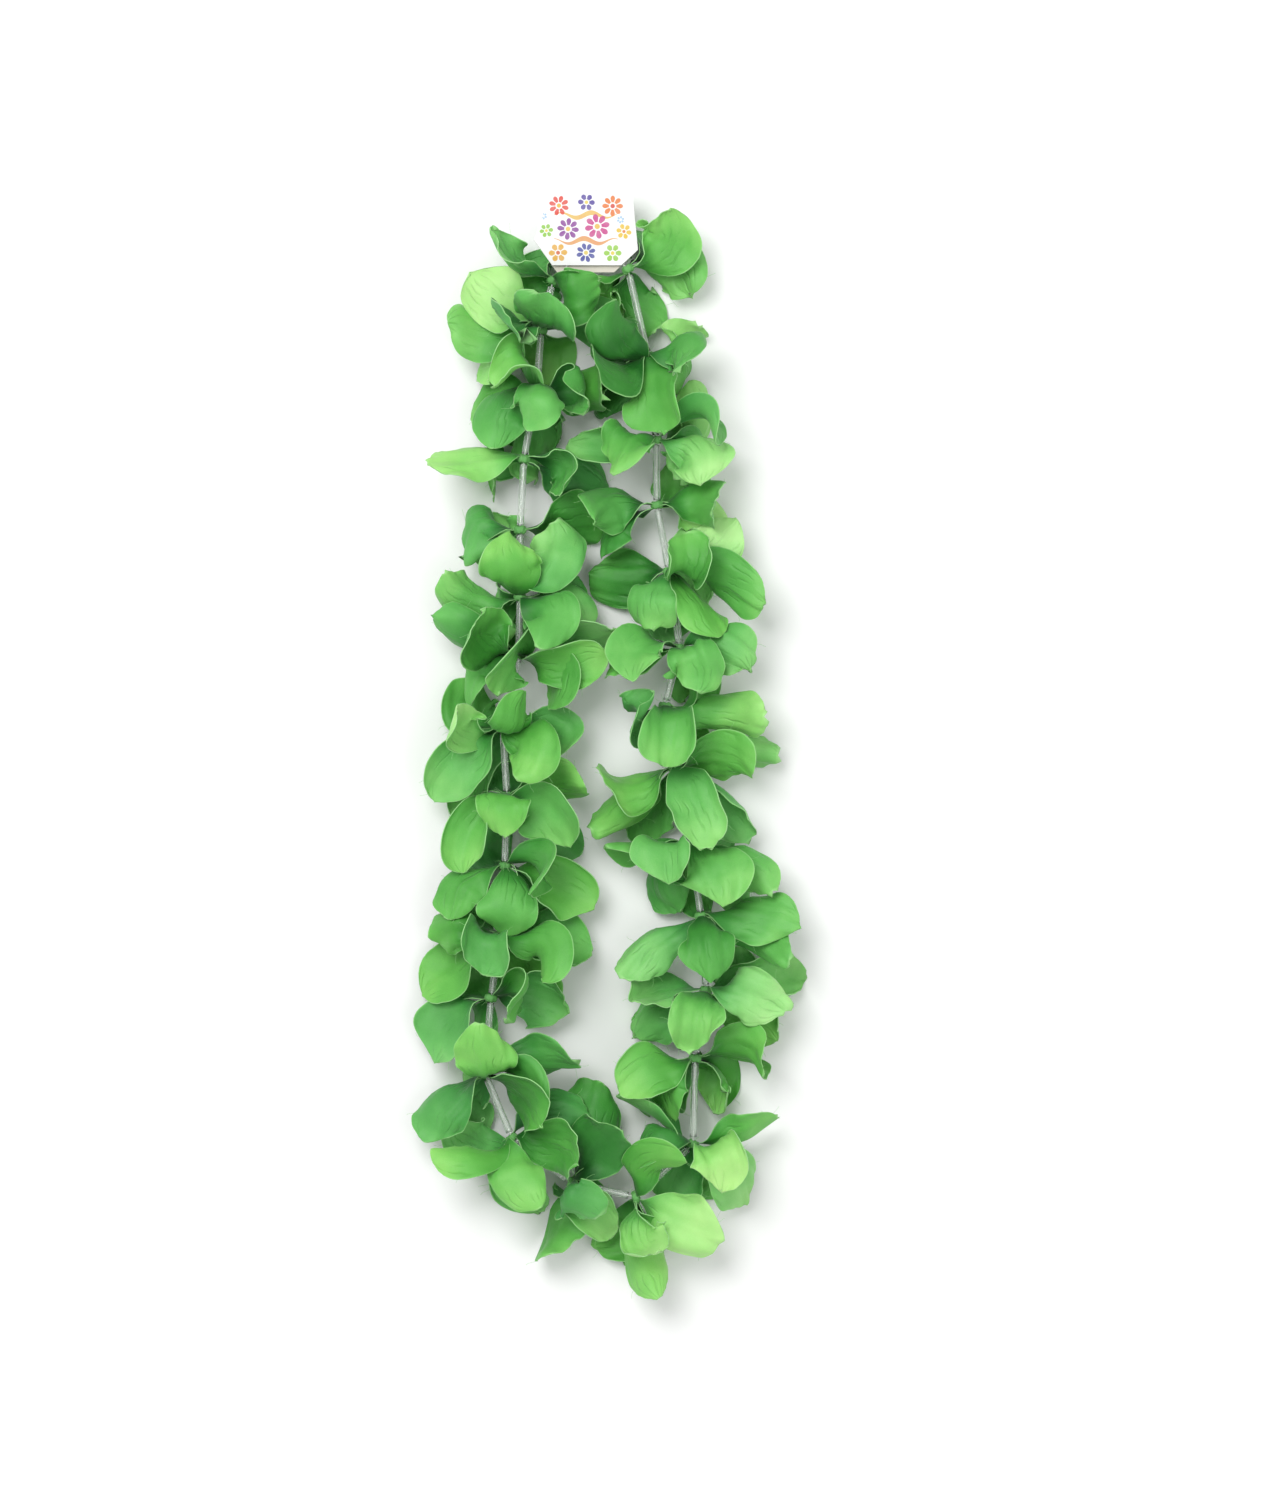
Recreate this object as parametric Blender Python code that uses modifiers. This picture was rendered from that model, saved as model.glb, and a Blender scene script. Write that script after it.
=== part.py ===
"""Flower lei of die-cut fabric blooms on a thread, with clear tube between them and a header card.

The lei lies on a table: +Z is up, +Y runs towards the card, +X is to the right when the lei is seen
from above with the card at the top. The origin is on the table, under the middle of the lei.
"""

import itertools
import math
import random
from collections import namedtuple

import bmesh
import bpy
from mathutils import Matrix, Vector
from mathutils.bvhtree import BVHTree

# Driving dimensions, in metres.
THREAD_HEIGHT = 0.021
THREAD_RADIUS = 0.00035
THREAD_BEND_REACH = 0.0012
TUBE_OUTER_RADIUS = 0.0017
TUBE_INNER_RADIUS = 0.0011
HUB_RADIUS = 0.0030
HUB_HALF_HEIGHT = 0.0019
HUB_HOLE_RADIUS = 0.00145
PETAL_LENGTH = 0.041
FULL_LIFT = 0.026
LIFT_EASE = 0.7
PETAL_LONGEST_REACH = 0.050
PETAL_HALF_WIDTH = 0.0162
PETAL_ROOT_HALF_WIDTH = 0.0011
TIP_BLUNTNESS = 2.6
RIM_WAVE_TURNS = 5.2
PETAL_ROOT_RADIUS = 0.0020
PETAL_LEAST_REACH = 0.004
MOST_ARCH = 0.013
LEAST_SPARE_LENGTH = 0.012
PETAL_LEVELS = (-0.00135, 0.00045, -0.00045, 0.00135)
FABRIC_THICKNESS = 0.0007
CARD_THICKNESS = 0.0006
CARD_LEAF_GAP = 0.0017
RUNNING_GAP = 0.0003

# The lei was laid out on a front view, whose units are turned into metres here.
VIEW_UNIT = 0.00048
VIEW_MIDDLE = (605.0, 742.0)

# Each bloom, from the left of the card round to its right: its seat on the thread, then the petals
# that show, each as the place of its tip, how far it lifts off the table side (1) or sinks to it (-1),
# and the turn of its face away from the viewer in degrees.
Bloom = namedtuple("Bloom", "seat petals")
BLOOMS = (
    Bloom((553, 281), ((503, 227, 0.3, 55), (604, 282, 0.6, 15), (614, 324, -0.4, 0), (519, 284, -0.5, 20))),
    Bloom((541, 330), ((465, 277, 0.4, 0), (449, 322, 0.15, 25), (447, 394, -0.3, 0), (592, 352, 0.6, 40),
                       (520, 350, 1.0, 10), (541, 297, 0.8, 20))),
    Bloom((537, 389), ((458, 414, 0.2, 20), (488, 446, 0.4, 35), (590, 408, 0.8, 40), (606, 386, 0.3, 10),
                       (570, 470, -0.25, 0), (490, 386, 0.8, 50), (526, 430, 0.9, 30))),
    Bloom((524, 459), ((430, 470, 0.2, 40), (576, 498, 0.3, 40), (607, 516, -0.2, 10), (504, 494, -0.4, 60))),
    Bloom((520, 530), ((606, 538, 0.2, 30), (602, 564, 0.4, 0), (486, 518, -0.4, 10))),
    Bloom((520, 597), ((513, 530, 0.6, 20), (553, 522, 0.6, -25), (446, 574, 0.15, 15), (578, 574, -0.4, 10),
                       (576, 628, -0.4, 10), (534, 650, 0.6, 10))),
    Bloom((519, 655), ((433, 626, 0.15, 10), (478, 604, 0.7, 20), (620, 618, 0.3, 65), (594, 645, 0.3, 40),
                       (472, 690, 0.3, 20), (497, 690, 0.7, -20), (534, 700, 0.5, 45))),
    Bloom((503, 728), ((455, 702, 0.5, 0), (538, 700, 0.6, 30), (436, 790, 0.1, 40), (456, 828, -0.2, 30),
                       (548, 762, 0.4, 40), (516, 775, 0.8, 30))),
    Bloom((507, 796), ((468, 864, 0.5, 5), (587, 786, 0.3, 25), (550, 858, 0.4, 0), (586, 846, -0.2, 10),
                       (488, 838, 0.8, 30))),
    Bloom((505, 866), ((440, 912, 0.2, 50), (512, 938, 0.6, 0), (592, 902, 0.1, 5), (576, 936, -0.3, 10),
                       (538, 896, 0.8, 40))),
    Bloom((500, 936), ((424, 932, 0.3, 15), (484, 974, 0.8, 10), (590, 962, 0.2, 0), (572, 998, -0.2, 10),
                       (420, 988, -0.1, 45), (514, 992, 0.6, 30))),
    Bloom((491, 998), ((436, 1058, 0.0, 40), (442, 1082, -0.4, 50), (517, 1020, 0.7, 40), (562, 1032, 0.3, 10))),
    Bloom((485, 1074), ((482, 1024, 0.7, 0), (421, 1140, 0.1, 30), (524, 1120, 0.6, 0), (579, 1064, 0.3, 35),
                        (560, 1108, 0.1, 0), (478, 1140, -0.3, 20))),
    Bloom((512, 1138), ((437, 1158, 0.2, 35), (541, 1202, 0.3, 0), (522, 1216, -0.4, 30), (590, 1124, -0.1, 0),
                        (590, 1156, 0.6, 45))),
    Bloom((572, 1183), ((600, 1086, 0.2, 35), (622, 1126, 0.8, 0), (560, 1254, 0.2, 50), (636, 1250, 0.1, 0),
                        (598, 1214, 0.6, 40))),
    Bloom((636, 1197), ((664, 1248, 0.7, 0), (682, 1158, 0.8, 40), (666, 1290, 0.1, 0), (628, 1270, -0.4, 30),
                        (722, 1234, 0.35, 0))),
    Bloom((693, 1144), ((612, 1110, 0.3, 30), (780, 1124, 0.25, 60), (722, 1192, 0.6, 0), (753, 1206, -0.1, 10),
                        (654, 1168, 0.6, 40), (690, 1214, -0.3, 0))),
    Bloom((695, 1058), ((618, 1100, 0.3, 20), (642, 1118, 0.0, 10), (772, 1070, 0.3, 45), (684, 1117, 0.0, 60),
                        (708, 1110, -0.3, 65))),
    Bloom((706, 990), ((631, 1010, 0.3, 50), (626, 1034, -0.2, 30), (694, 1050, 0.6, 0), (784, 1010, 0.4, 0),
                       (812, 984, -0.2, 10), (778, 1042, -0.1, 20))),
    Bloom((701, 916), ((625, 974, 0.15, 25), (710, 980, 0.6, 0), (800, 930, -0.1, 20), (786, 972, 0.2, 0))),
    Bloom((691, 846), ((613, 858, 0.1, 60), (670, 884, 0.6, 40), (722, 906, 0.7, 0), (772, 890, 0.3, 20),
                       (748, 914, -0.2, 30), (678, 916, -0.2, 30))),
    Bloom((674, 768), ((593, 778, 0.2, 45), (589, 824, 0.1, 5), (704, 845, 0.6, 0), (745, 780, 0.6, 65),
                       (787, 798, -0.1, 20), (756, 838, -0.2, 20), (650, 842, -0.2, 0))),
    Bloom((665, 706), ((668, 764, 0.6, 0), (776, 718, 0.2, 0), (650, 690, 0.8, 60), (716, 764, -0.3, 10))),
    Bloom((680, 648), ((597, 650, 0.3, 30), (642, 682, 0.5, 25), (767, 632, 0.2, 30), (752, 674, 0.3, 30),
                       (694, 692, 0.8, 20))),
    Bloom((669, 571), ((636, 642, 0.5, 30), (712, 642, 0.5, -30), (766, 604, 0.5, 35), (592, 572, -0.2, 0),
                       (660, 640, -0.3, 20), (739, 520, 0.3, 0), (690, 534, 0.8, 20))),
    Bloom((657, 505), ((611, 520, 0.6, 10), (602, 560, -0.1, 20), (700, 508, 0.8, 0), (722, 548, 0.1, 0))),
    Bloom((656, 440), ((574, 441, 0.2, 25), (617, 476, 0.6, 30), (717, 450, 0.3, 55), (684, 384, -0.4, 20),
                       (702, 486, 0.6, 0))),
    Bloom((648, 356), ((594, 396, 0.4, 55), (652, 436, 0.5, 30), (680, 386, 0.9, 10), (702, 330, -0.1, 50),
                       (596, 408, -0.4, 10), (634, 296, 0.7, 30), (590, 350, 0.3, 45))),
    Bloom((628, 269), ((670, 210, 0.3, 10), (690, 298, 0.2, 30), (615, 298, -0.3, 50), (654, 322, -0.2, 10))),
)
HIDDEN_PETALS = 1
RANDOM_SEED = 45

# The card's outline on the front view, and the thread's way through it from left to right.
CARD_TOP = 190.0
CARD_OUTLINE = ((552, 190), (632, 190), (638, 250), (610, 266), (559, 265), (534, 240))
CARD_BACK_LEAF_DROP = 0.0032
CARD_GLUED_PATCH = ((584, 214), (599, 258))
THREAD_IN_CARD = ((571, 262), (574, 240), (576, 215), (582, 202), (592, 198), (602, 202), (608, 215),
                  (611, 240), (615, 257))

# How a petal may be bent aside to clear those already strung: swings and rolls in degrees, rises in
# metres, an added fold in radians and a shorter length, each with what it counts as against the others.
SWINGS, SWING_COUNTS_AS = (0, 7, -7, 14, -14, 22, -22), 6.0
RISES, RISE_COUNTS_AS = (0, 0.003, -0.003, 0.006, -0.006, 0.010, -0.010, 0.014, -0.014), 0.004
ROLLS, ROLL_COUNTS_AS = (0, 20, -20, 40, -40), 20.0
FOLDS, FOLD_COUNTS_AS = (0, 0.5), 0.3
LENGTHS, LENGTH_COUNTS_AS = (1.0, 0.86, 0.72), 0.05
MOST_BENT = 7.5
NEIGHBOUR_REACH = 0.094
CLEARANCE = 0.00025
TUBE_ROD_SPREAD = 1.16
THREAD_ROD_SPREAD = 1.3
CARD_ROOM = ((552, 274, 618, 186), (533, 256, 639, 186))
STATIONS = (0.0, 0.25, 0.58, 0.94, 1.0)
TOWARDS_VIEWER = Vector((0, 0, 1))


def place(across, down, height=THREAD_HEIGHT):
    """A point of the front view, in metres on the lei."""
    return Vector(((across - VIEW_MIDDLE[0]) * VIEW_UNIT, (VIEW_MIDDLE[1] - down) * VIEW_UNIT, height))


def blend(low, high, value):
    """A smooth step from 0 at low to 1 at high."""
    step = min(max((value - low) / (high - low), 0.0), 1.0)
    return step * step * (3 - 2 * step)


def square_to(vector, axis):
    """The part of a vector that is square to an axis."""
    return vector - axis * vector.dot(axis)


class Petal:
    """One fabric petal: a rib that leaves the hub squarely and arches over to its tip."""

    def __init__(self, seat, along, reach, rise, turn, level, fold, length, draw):
        self.draw = draw
        self.cup = draw["cup"] + math.copysign(fold, draw["cup"])
        tip = seat + reach + Vector((0, 0, rise))
        radial = square_to(tip - seat, along)
        if radial.length < PETAL_LEAST_REACH:
            radial = square_to(TOWARDS_VIEWER * (1 if rise >= 0 else -1), along)
        radial.normalize()
        self.root = seat + radial * PETAL_ROOT_RADIUS + along * level
        self.chord = (tip - self.root) * length
        heading = self.chord.normalized()
        facing = square_to(TOWARDS_VIEWER, heading)
        if facing.length < 0.25:
            facing = square_to(along, heading)
        facing = Matrix.Rotation(math.radians(turn), 3, heading) @ facing.normalized()
        spare = max(PETAL_LENGTH * length / self.chord.length - 1, LEAST_SPARE_LENGTH)
        self.arch = min(2 * self.chord.length / math.pi * math.sqrt(spare), MOST_ARCH)
        self.arch_way = (square_to(radial, heading) + facing * draw["arch_side"] * 0.3).normalized()
        self.blade_across = heading.cross(facing)
        self.root_across = along.cross(radial)
        if self.root_across.dot(self.blade_across) < 0:
            self.root_across = -self.root_across
        self.half_width = PETAL_HALF_WIDTH * draw["width"] * (0.35 + 0.65 * length)

    def half_width_at(self, along):
        widest = self.draw["widest"]
        swelling = math.sin(math.pi / 2 * min(along / widest, 1)) ** 0.8
        past = min(max(along - widest, 0) / (1 - widest), 1)
        rounded = math.sqrt(1 - past ** TIP_BLUNTNESS)
        return max(self.half_width * swelling * rounded, PETAL_ROOT_HALF_WIDTH * (1 - along))

    def point(self, across, along):
        """The point at across (-1 to 1) and along (0 at the root, 1 at the tip) on the sheet."""
        rib = self.root + self.chord * along + self.arch_way * self.arch * math.sin(math.pi * along)
        heading = self.chord + self.arch_way * self.arch * math.pi * math.cos(math.pi * along)
        heading.normalize()
        width_way = self.root_across.lerp(self.blade_across, blend(0.0, 0.42, along))
        width_way = square_to(width_way, heading).normalized()
        face = heading.cross(width_way)
        half = self.half_width_at(along)
        share = half / PETAL_HALF_WIDTH
        draw = self.draw
        curl = self.cup * blend(0.0, 0.3, along)
        sideways = half * math.sin(curl * across) / curl if curl else half * across
        rise = half * (1 - math.cos(curl * across)) / curl if curl else 0.0
        wave, phase = draw["waves"][across > 0]
        rise += wave * across * across * share * math.sin(RIM_WAVE_TURNS * along + phase)
        rise += draw["curl"] * blend(0.55, 1.0, along)
        found = rib + width_way * sideways + face * rise
        found.z = max(found.z, FABRIC_THICKNESS / 2 + draw["layer"] * blend(0.1, 0.5, along))
        return found

    def shell(self, margin, first=0):
        """The corners and triangles of the thick petal, for the test against its neighbours."""
        thick = FABRIC_THICKNESS / 2 + margin
        rows = [[self.point(u, s) for u in (-1, 0, 1)] for s in STATIONS[first:]]
        corners, faces = [], []
        count = len(rows)
        for sign in (1, -1):
            for i, row in enumerate(rows):
                for j in range(3):
                    ahead = rows[min(i + 1, count - 1)][j] - rows[max(i - 1, 0)][j]
                    wide = rows[min(i, count - 2)][2] - rows[min(i, count - 2)][0]
                    corners.append(row[j] + ahead.cross(wide).normalized() * thick * sign)
        back = count * 3
        for i in range(count - 1):
            for j in range(2):
                a = i * 3 + j
                for base in (0, back):
                    faces.append((base + a, base + a + 1, base + a + 4))
                    faces.append((base + a, base + a + 4, base + a + 3))
            for j in (0, 2):
                a = i * 3 + j
                faces.append((a, a + 3, a + 3 + back))
                faces.append((a, a + 3 + back, a + back))
        return corners, faces


def petal_draw(dice):
    """The chance part of one petal's form."""
    return {
        "width": dice.uniform(0.92, 1.08),
        "arch_side": dice.choice((-1, 1)),
        "widest": dice.uniform(0.50, 0.68),
        "cup": dice.choice((-1, 1, 1)) * dice.uniform(0.45, 1.35),
        "waves": [(dice.uniform(0.0015, 0.0050), dice.uniform(0, 2 * math.pi)) for _ in range(2)],
        "curl": dice.choice((-1, 1)) * dice.uniform(0.001, 0.007),
        "layer": dice.uniform(0.0, 0.002),
    }


def tree(shells):
    return [BVHTree.FromPolygons(corners, faces) for corners, faces in shells]


def rod_shell(start, end, radius):
    """A six-sided rod, for the test of a petal against tube and thread."""
    axis = (end - start).normalized()
    first = axis.orthogonal().normalized()
    second = axis.cross(first)
    corners, faces = [], []
    for centre in (start, end):
        for k in range(6):
            angle = math.pi * k / 3
            corners.append(centre + (first * math.cos(angle) + second * math.sin(angle)) * radius)
    for k in range(6):
        n = (k + 1) % 6
        faces += [(k, n, n + 6), (k, n + 6, k + 6)]
    faces += [(0, k, k + 1) for k in range(1, 5)] + [(6, 6 + k, 7 + k) for k in range(1, 5)]
    return corners, faces


def box_shell(low, high):
    corners = [Vector((x, y, z)) for x in (low.x, high.x) for y in (low.y, high.y) for z in (low.z, high.z)]
    faces = [(0, 1, 3, 2), (4, 6, 7, 5), (0, 4, 5, 1), (2, 3, 7, 6), (0, 2, 6, 4), (1, 5, 7, 3)]
    return corners, faces


def seats():
    return [place(*bloom.seat) for bloom in BLOOMS]


def thread_route():
    """The loop of thread: straight through each tube, a short bend in each bloom, and round the card."""
    centres = seats()
    in_card = [place(*point) for point in THREAD_IN_CARD]
    route = []
    for i, centre in enumerate(centres):
        before = centres[i - 1] if i else in_card[0]
        after = centres[i + 1] if i + 1 < len(centres) else in_card[-1]
        route.append(centre + (before - centre).normalized() * THREAD_BEND_REACH)
        route.append(centre + (after - centre).normalized() * THREAD_BEND_REACH)
    return route + in_card[::-1]


def axis_at(index):
    """The way the thread runs at a bloom, from the bloom before to the bloom after."""
    centres = seats()
    before = centres[index - 1] if index else place(*THREAD_IN_CARD[0])
    after = centres[index + 1] if index + 1 < len(centres) else place(*THREAD_IN_CARD[-1])
    into = (centres[index] - before).normalized()
    out = (after - centres[index]).normalized()
    return (into + out).normalized()


def tube_ends(index):
    """The two ends of the tube between a bloom and the next."""
    centres = seats()
    start, end = centres[index], centres[index + 1]
    run = (end - start).normalized()
    ends = []
    for centre, axis, way in ((start, axis_at(index), 1), (end, axis_at(index + 1), -1)):
        lean = math.sqrt(max(1 - run.dot(axis) ** 2, 0))
        setback = HUB_HALF_HEIGHT + RUNNING_GAP + (TUBE_OUTER_RADIUS + HUB_RADIUS * 0.5) * lean
        ends.append(centre + run * way * setback)
    return ends


def hidden_petals(index, dice):
    """Petals on the table side, which the front view does not show, as reaches, rises and turns."""
    along = axis_at(index)
    sideways = along.cross(TOWARDS_VIEWER)
    found = []
    for k in range(HIDDEN_PETALS):
        lean = dice.uniform(0.45, 0.75) * dice.choice((-1, 1))
        reach = (along * lean + sideways * dice.uniform(0.2, 0.5)).normalized()
        found.append((reach * dice.uniform(0.024, 0.030), -THREAD_HEIGHT + 0.002, dice.uniform(-15, 15)))
    return found


def wanted_petals(index, dice):
    """Every petal of one bloom as a reach on the table, a rise and a turn."""
    bloom = BLOOMS[index]
    seat = place(*bloom.seat)
    found = []
    for tip_across, tip_down, lift, turn in bloom.petals:
        reach = place(tip_across, tip_down) - seat
        if reach.length > PETAL_LONGEST_REACH:
            reach *= PETAL_LONGEST_REACH / reach.length
        rise = math.copysign(abs(lift) ** LIFT_EASE, lift) * (FULL_LIFT if lift > 0 else THREAD_HEIGHT)
        found.append((reach, rise, turn))
    return found + hidden_petals(index, dice)


def fixed_shells():
    """The tubes, the thread in the card and the card, which every petal clears."""
    shells = []
    for i in range(len(BLOOMS) - 1):
        start, end = tube_ends(i)
        shells.append(rod_shell(start, end, TUBE_OUTER_RADIUS * TUBE_ROD_SPREAD + CLEARANCE))
    inside = [place(*BLOOMS[0].seat)] + [place(*p) for p in THREAD_IN_CARD] + [place(*BLOOMS[-1].seat)]
    for start, end in zip(inside, inside[1:]):
        shells.append(rod_shell(start, end, THREAD_RADIUS * THREAD_ROD_SPREAD + CLEARANCE))
    half = CARD_LEAF_GAP / 2 + CARD_THICKNESS + CLEARANCE
    for left, foot, right, head in CARD_ROOM:
        low = place(left, foot, THREAD_HEIGHT - half)
        high = place(right, head, THREAD_HEIGHT + half)
        shells.append(box_shell(low, high))
    return shells


def petal_levels(wanted, along):
    """A level in the hub for each petal, unlike those of the petals beside it round the thread."""
    first = along.orthogonal().normalized()
    second = along.cross(first)
    angles = []
    for reach, rise, _ in wanted:
        way = reach + Vector((0, 0, rise))
        angles.append(math.atan2(way.dot(second), way.dot(first)))
    order = sorted(range(len(wanted)), key=lambda k: angles[k])
    return {k: PETAL_LEVELS[rank % len(PETAL_LEVELS)] for rank, k in enumerate(order)}


def string_blooms():
    """All petals by bloom. Those nearest the viewer take their places first, and each later one is
    bent aside or shortened until it clears those before it."""
    others = [(None, found) for found in tree(fixed_shells())]
    queue = []
    for i, centre in enumerate(seats()):
        axis = axis_at(i) * (HUB_HALF_HEIGHT + CLEARANCE)
        others.append((i, tree([rod_shell(centre - axis, centre + axis, HUB_RADIUS + CLEARANCE)])[0]))
        dice = random.Random(RANDOM_SEED + i)
        wanted = wanted_petals(i, dice)
        levels = petal_levels(wanted, axis_at(i))
        for k, petal in enumerate(wanted):
            hidden = k >= len(BLOOMS[i].petals)
            queue.append((hidden, -petal[1], i, petal, levels[k], petal_draw(dice)))
    queue.sort(key=lambda job: job[:3])
    bends = ways_aside()
    garland = [[] for _ in BLOOMS]
    for _, _, i, wanted, level, draw in queue:
        near = seats()[i]
        rivals = [found for k, found in others if k is None
                  or (k != i and (seats()[k] - near).length < NEIGHBOUR_REACH)]
        petal = cleared_petal(i, level, wanted, draw, rivals, garland[i], bends)
        if petal is not None:
            garland[i].append(petal)
            others.append((i, tree([petal.shell(CLEARANCE)])[0]))
    return garland


def ways_aside():
    """Every way to bend a petal aside, the slightest first."""
    found = []
    for swing, rise, roll, fold, length in itertools.product(SWINGS, RISES, ROLLS, FOLDS, LENGTHS):
        bend = abs(swing) / SWING_COUNTS_AS + abs(rise) / RISE_COUNTS_AS + abs(roll) / ROLL_COUNTS_AS
        bend += fold / FOLD_COUNTS_AS + (1 - length) / LENGTH_COUNTS_AS
        found.append((bend, swing, rise, roll, fold, length))
    return [way[1:] for way in sorted(found, key=lambda way: way[0]) if way[0] < MOST_BENT]


def cleared_petal(index, level, wanted, draw, rivals, own, bends):
    """The first petal near its wanted place that crosses nothing, or None."""
    seat = place(*BLOOMS[index].seat)
    along = axis_at(index)
    reach, rise, turn = wanted
    own_whole = tree([petal.shell(0.0001) for petal in own])
    own_outer = tree([petal.shell(0.0001, first=1) for petal in own])
    second_best = None
    for swing, lift, roll, fold, length in bends:
        swung = Matrix.Rotation(math.radians(swing), 3, "Z") @ reach
        height = max(rise + lift, -THREAD_HEIGHT + 0.001)
        petal = Petal(seat, along, swung, height, turn + roll, level, fold, length, draw)
        found = tree([petal.shell(0.0)])[0]
        if any(found.overlap(rival) for rival in rivals):
            continue
        if not any(found.overlap(rival) for rival in own_whole):
            return petal
        if second_best is None:
            outer = tree([petal.shell(0.0, first=1)])[0]
            if not any(outer.overlap(rival) for rival in own_outer):
                second_best = petal
    return second_best


def clear_scene():
    for found in list(bpy.data.objects):
        bpy.data.objects.remove(found, do_unlink=True)


def new_collection(name):
    found = bpy.data.collections.new(name)
    bpy.context.scene.collection.children.link(found)
    return found


def material(name, colour, roughness, metallic=0.0, transmission=0.0):
    found = bpy.data.materials.new(name)
    found.use_nodes = True
    shader = found.node_tree.nodes["Principled BSDF"]
    shader.inputs["Base Color"].default_value = (*colour, 1)
    shader.inputs["Roughness"].default_value = roughness
    shader.inputs["Metallic"].default_value = metallic
    shader.inputs["Transmission Weight"].default_value = transmission
    found.diffuse_color = (*colour, 1)
    return found


def mesh_object(name, mesh, collection, finish):
    found = bpy.data.objects.new(name, mesh)
    mesh.materials.clear()
    mesh.materials.append(finish)
    collection.objects.link(found)
    return found


def applied(found):
    """The object's modifiers applied to its mesh."""
    bpy.context.view_layer.update()
    evaluated = found.evaluated_get(bpy.context.evaluated_depsgraph_get())
    mesh = bpy.data.meshes.new_from_object(evaluated)
    mesh.transform(found.matrix_world)
    found.modifiers.clear()
    found.matrix_world = Matrix.Identity(4)
    found.data = mesh
    return found


def keep_largest_body(mesh):
    """Fills the hollows that fusing has sealed and drops the loose scraps it has left."""
    shape = bmesh.new()
    shape.from_mesh(mesh)
    left, bodies = set(shape.verts), []
    while left:
        body, edge = set(), [left.pop()]
        while edge:
            vert = edge.pop()
            body.add(vert)
            for link in vert.link_edges:
                other = link.other_vert(vert)
                if other in left:
                    left.discard(other)
                    edge.append(other)
        bodies.append(body)
    largest = max(bodies, key=len)
    loose = [vert for vert in shape.verts if vert not in largest]
    bmesh.ops.delete(shape, geom=loose, context="VERTS")
    shape.to_mesh(mesh)
    shape.free()


def ring_object(name, outer, inner, half_height, steps, collection, finish):
    """A turned ring about Z: its section swept round with Screw."""
    mesh = bpy.data.meshes.new(name)
    section = [(outer, 0, half_height), (outer, 0, -half_height), (inner, 0, -half_height),
               (inner, 0, half_height)]
    mesh.from_pydata(section, [(0, 1), (1, 2), (2, 3), (3, 0)], [])
    found = mesh_object(name, mesh, collection, finish)
    screw = found.modifiers.new("Turn", "SCREW")
    screw.axis = "Z"
    screw.steps = steps
    screw.render_steps = steps
    screw.use_merge_vertices = True
    screw.merge_threshold = 0.00001
    return found


def stand_along(found, centre, axis):
    found.matrix_world = Matrix.Translation(centre) @ axis.to_track_quat("Z", "Y").to_matrix().to_4x4()


def petal_object(name, petal, collection, finish):
    """A petal's open sheet, split alike on both faces, with the fabric's thickness."""
    shape = bmesh.new()
    bmesh.ops.create_grid(shape, x_segments=2, y_segments=len(STATIONS) - 1, size=1)
    for vert in shape.verts:
        row = round((vert.co.y + 1) / 2 * (len(STATIONS) - 1))
        vert.co = petal.point(round(vert.co.x), STATIONS[row])
    bmesh.ops.remove_doubles(shape, verts=shape.verts, dist=0.0004)
    bmesh.ops.triangulate(shape, faces=shape.faces)
    mesh = bpy.data.meshes.new(name)
    shape.to_mesh(mesh)
    shape.free()
    found = mesh_object(name, mesh, collection, finish)
    thick = found.modifiers.new("Fabric", "SOLIDIFY")
    thick.thickness = FABRIC_THICKNESS
    thick.offset = 0
    return found


def bloom_object(index, petals, lei, finish):
    """One bloom: a pressed hub with its petals fused to it."""
    name = f"bloom_{index + 1:02d}"
    hub = ring_object(name, HUB_RADIUS, HUB_HOLE_RADIUS, HUB_HALF_HEIGHT, 6, lei, finish)
    stand_along(hub, seats()[index], axis_at(index))
    applied(hub)
    heap = new_collection(name + "_petals")
    for k, petal in enumerate(petals):
        petal_object(f"{name}_petal_{k + 1}", petal, heap, finish)
    union = hub.modifiers.new("Fuse", "BOOLEAN")
    union.operation = "UNION"
    union.operand_type = "COLLECTION"
    union.collection = heap
    union.solver = "MANIFOLD"
    applied(hub)
    keep_largest_body(hub.data)
    for found in list(heap.objects):
        bpy.data.objects.remove(found, do_unlink=True)
    bpy.data.collections.remove(heap)
    return hub


def tube_object(index, lei, finish):
    start, end = tube_ends(index)
    found = ring_object(f"tube_{index + 1:02d}", TUBE_OUTER_RADIUS, TUBE_INNER_RADIUS,
                        (end - start).length / 2, 6, lei, finish)
    stand_along(found, (start + end) / 2, end - start)
    return found


def thread_object(lei, finish):
    """The closed loop of thread."""
    route = thread_route()
    curve = bpy.data.curves.new("thread", "CURVE")
    curve.dimensions = "3D"
    curve.bevel_depth = THREAD_RADIUS
    curve.bevel_resolution = 0
    spline = curve.splines.new("POLY")
    spline.points.add(len(route) - 1)
    for point, where in zip(spline.points, route):
        point.co = (*where, 1)
    spline.use_cyclic_u = True
    found = bpy.data.objects.new("thread", curve)
    curve.materials.append(finish)
    lei.objects.link(found)
    return found


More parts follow.
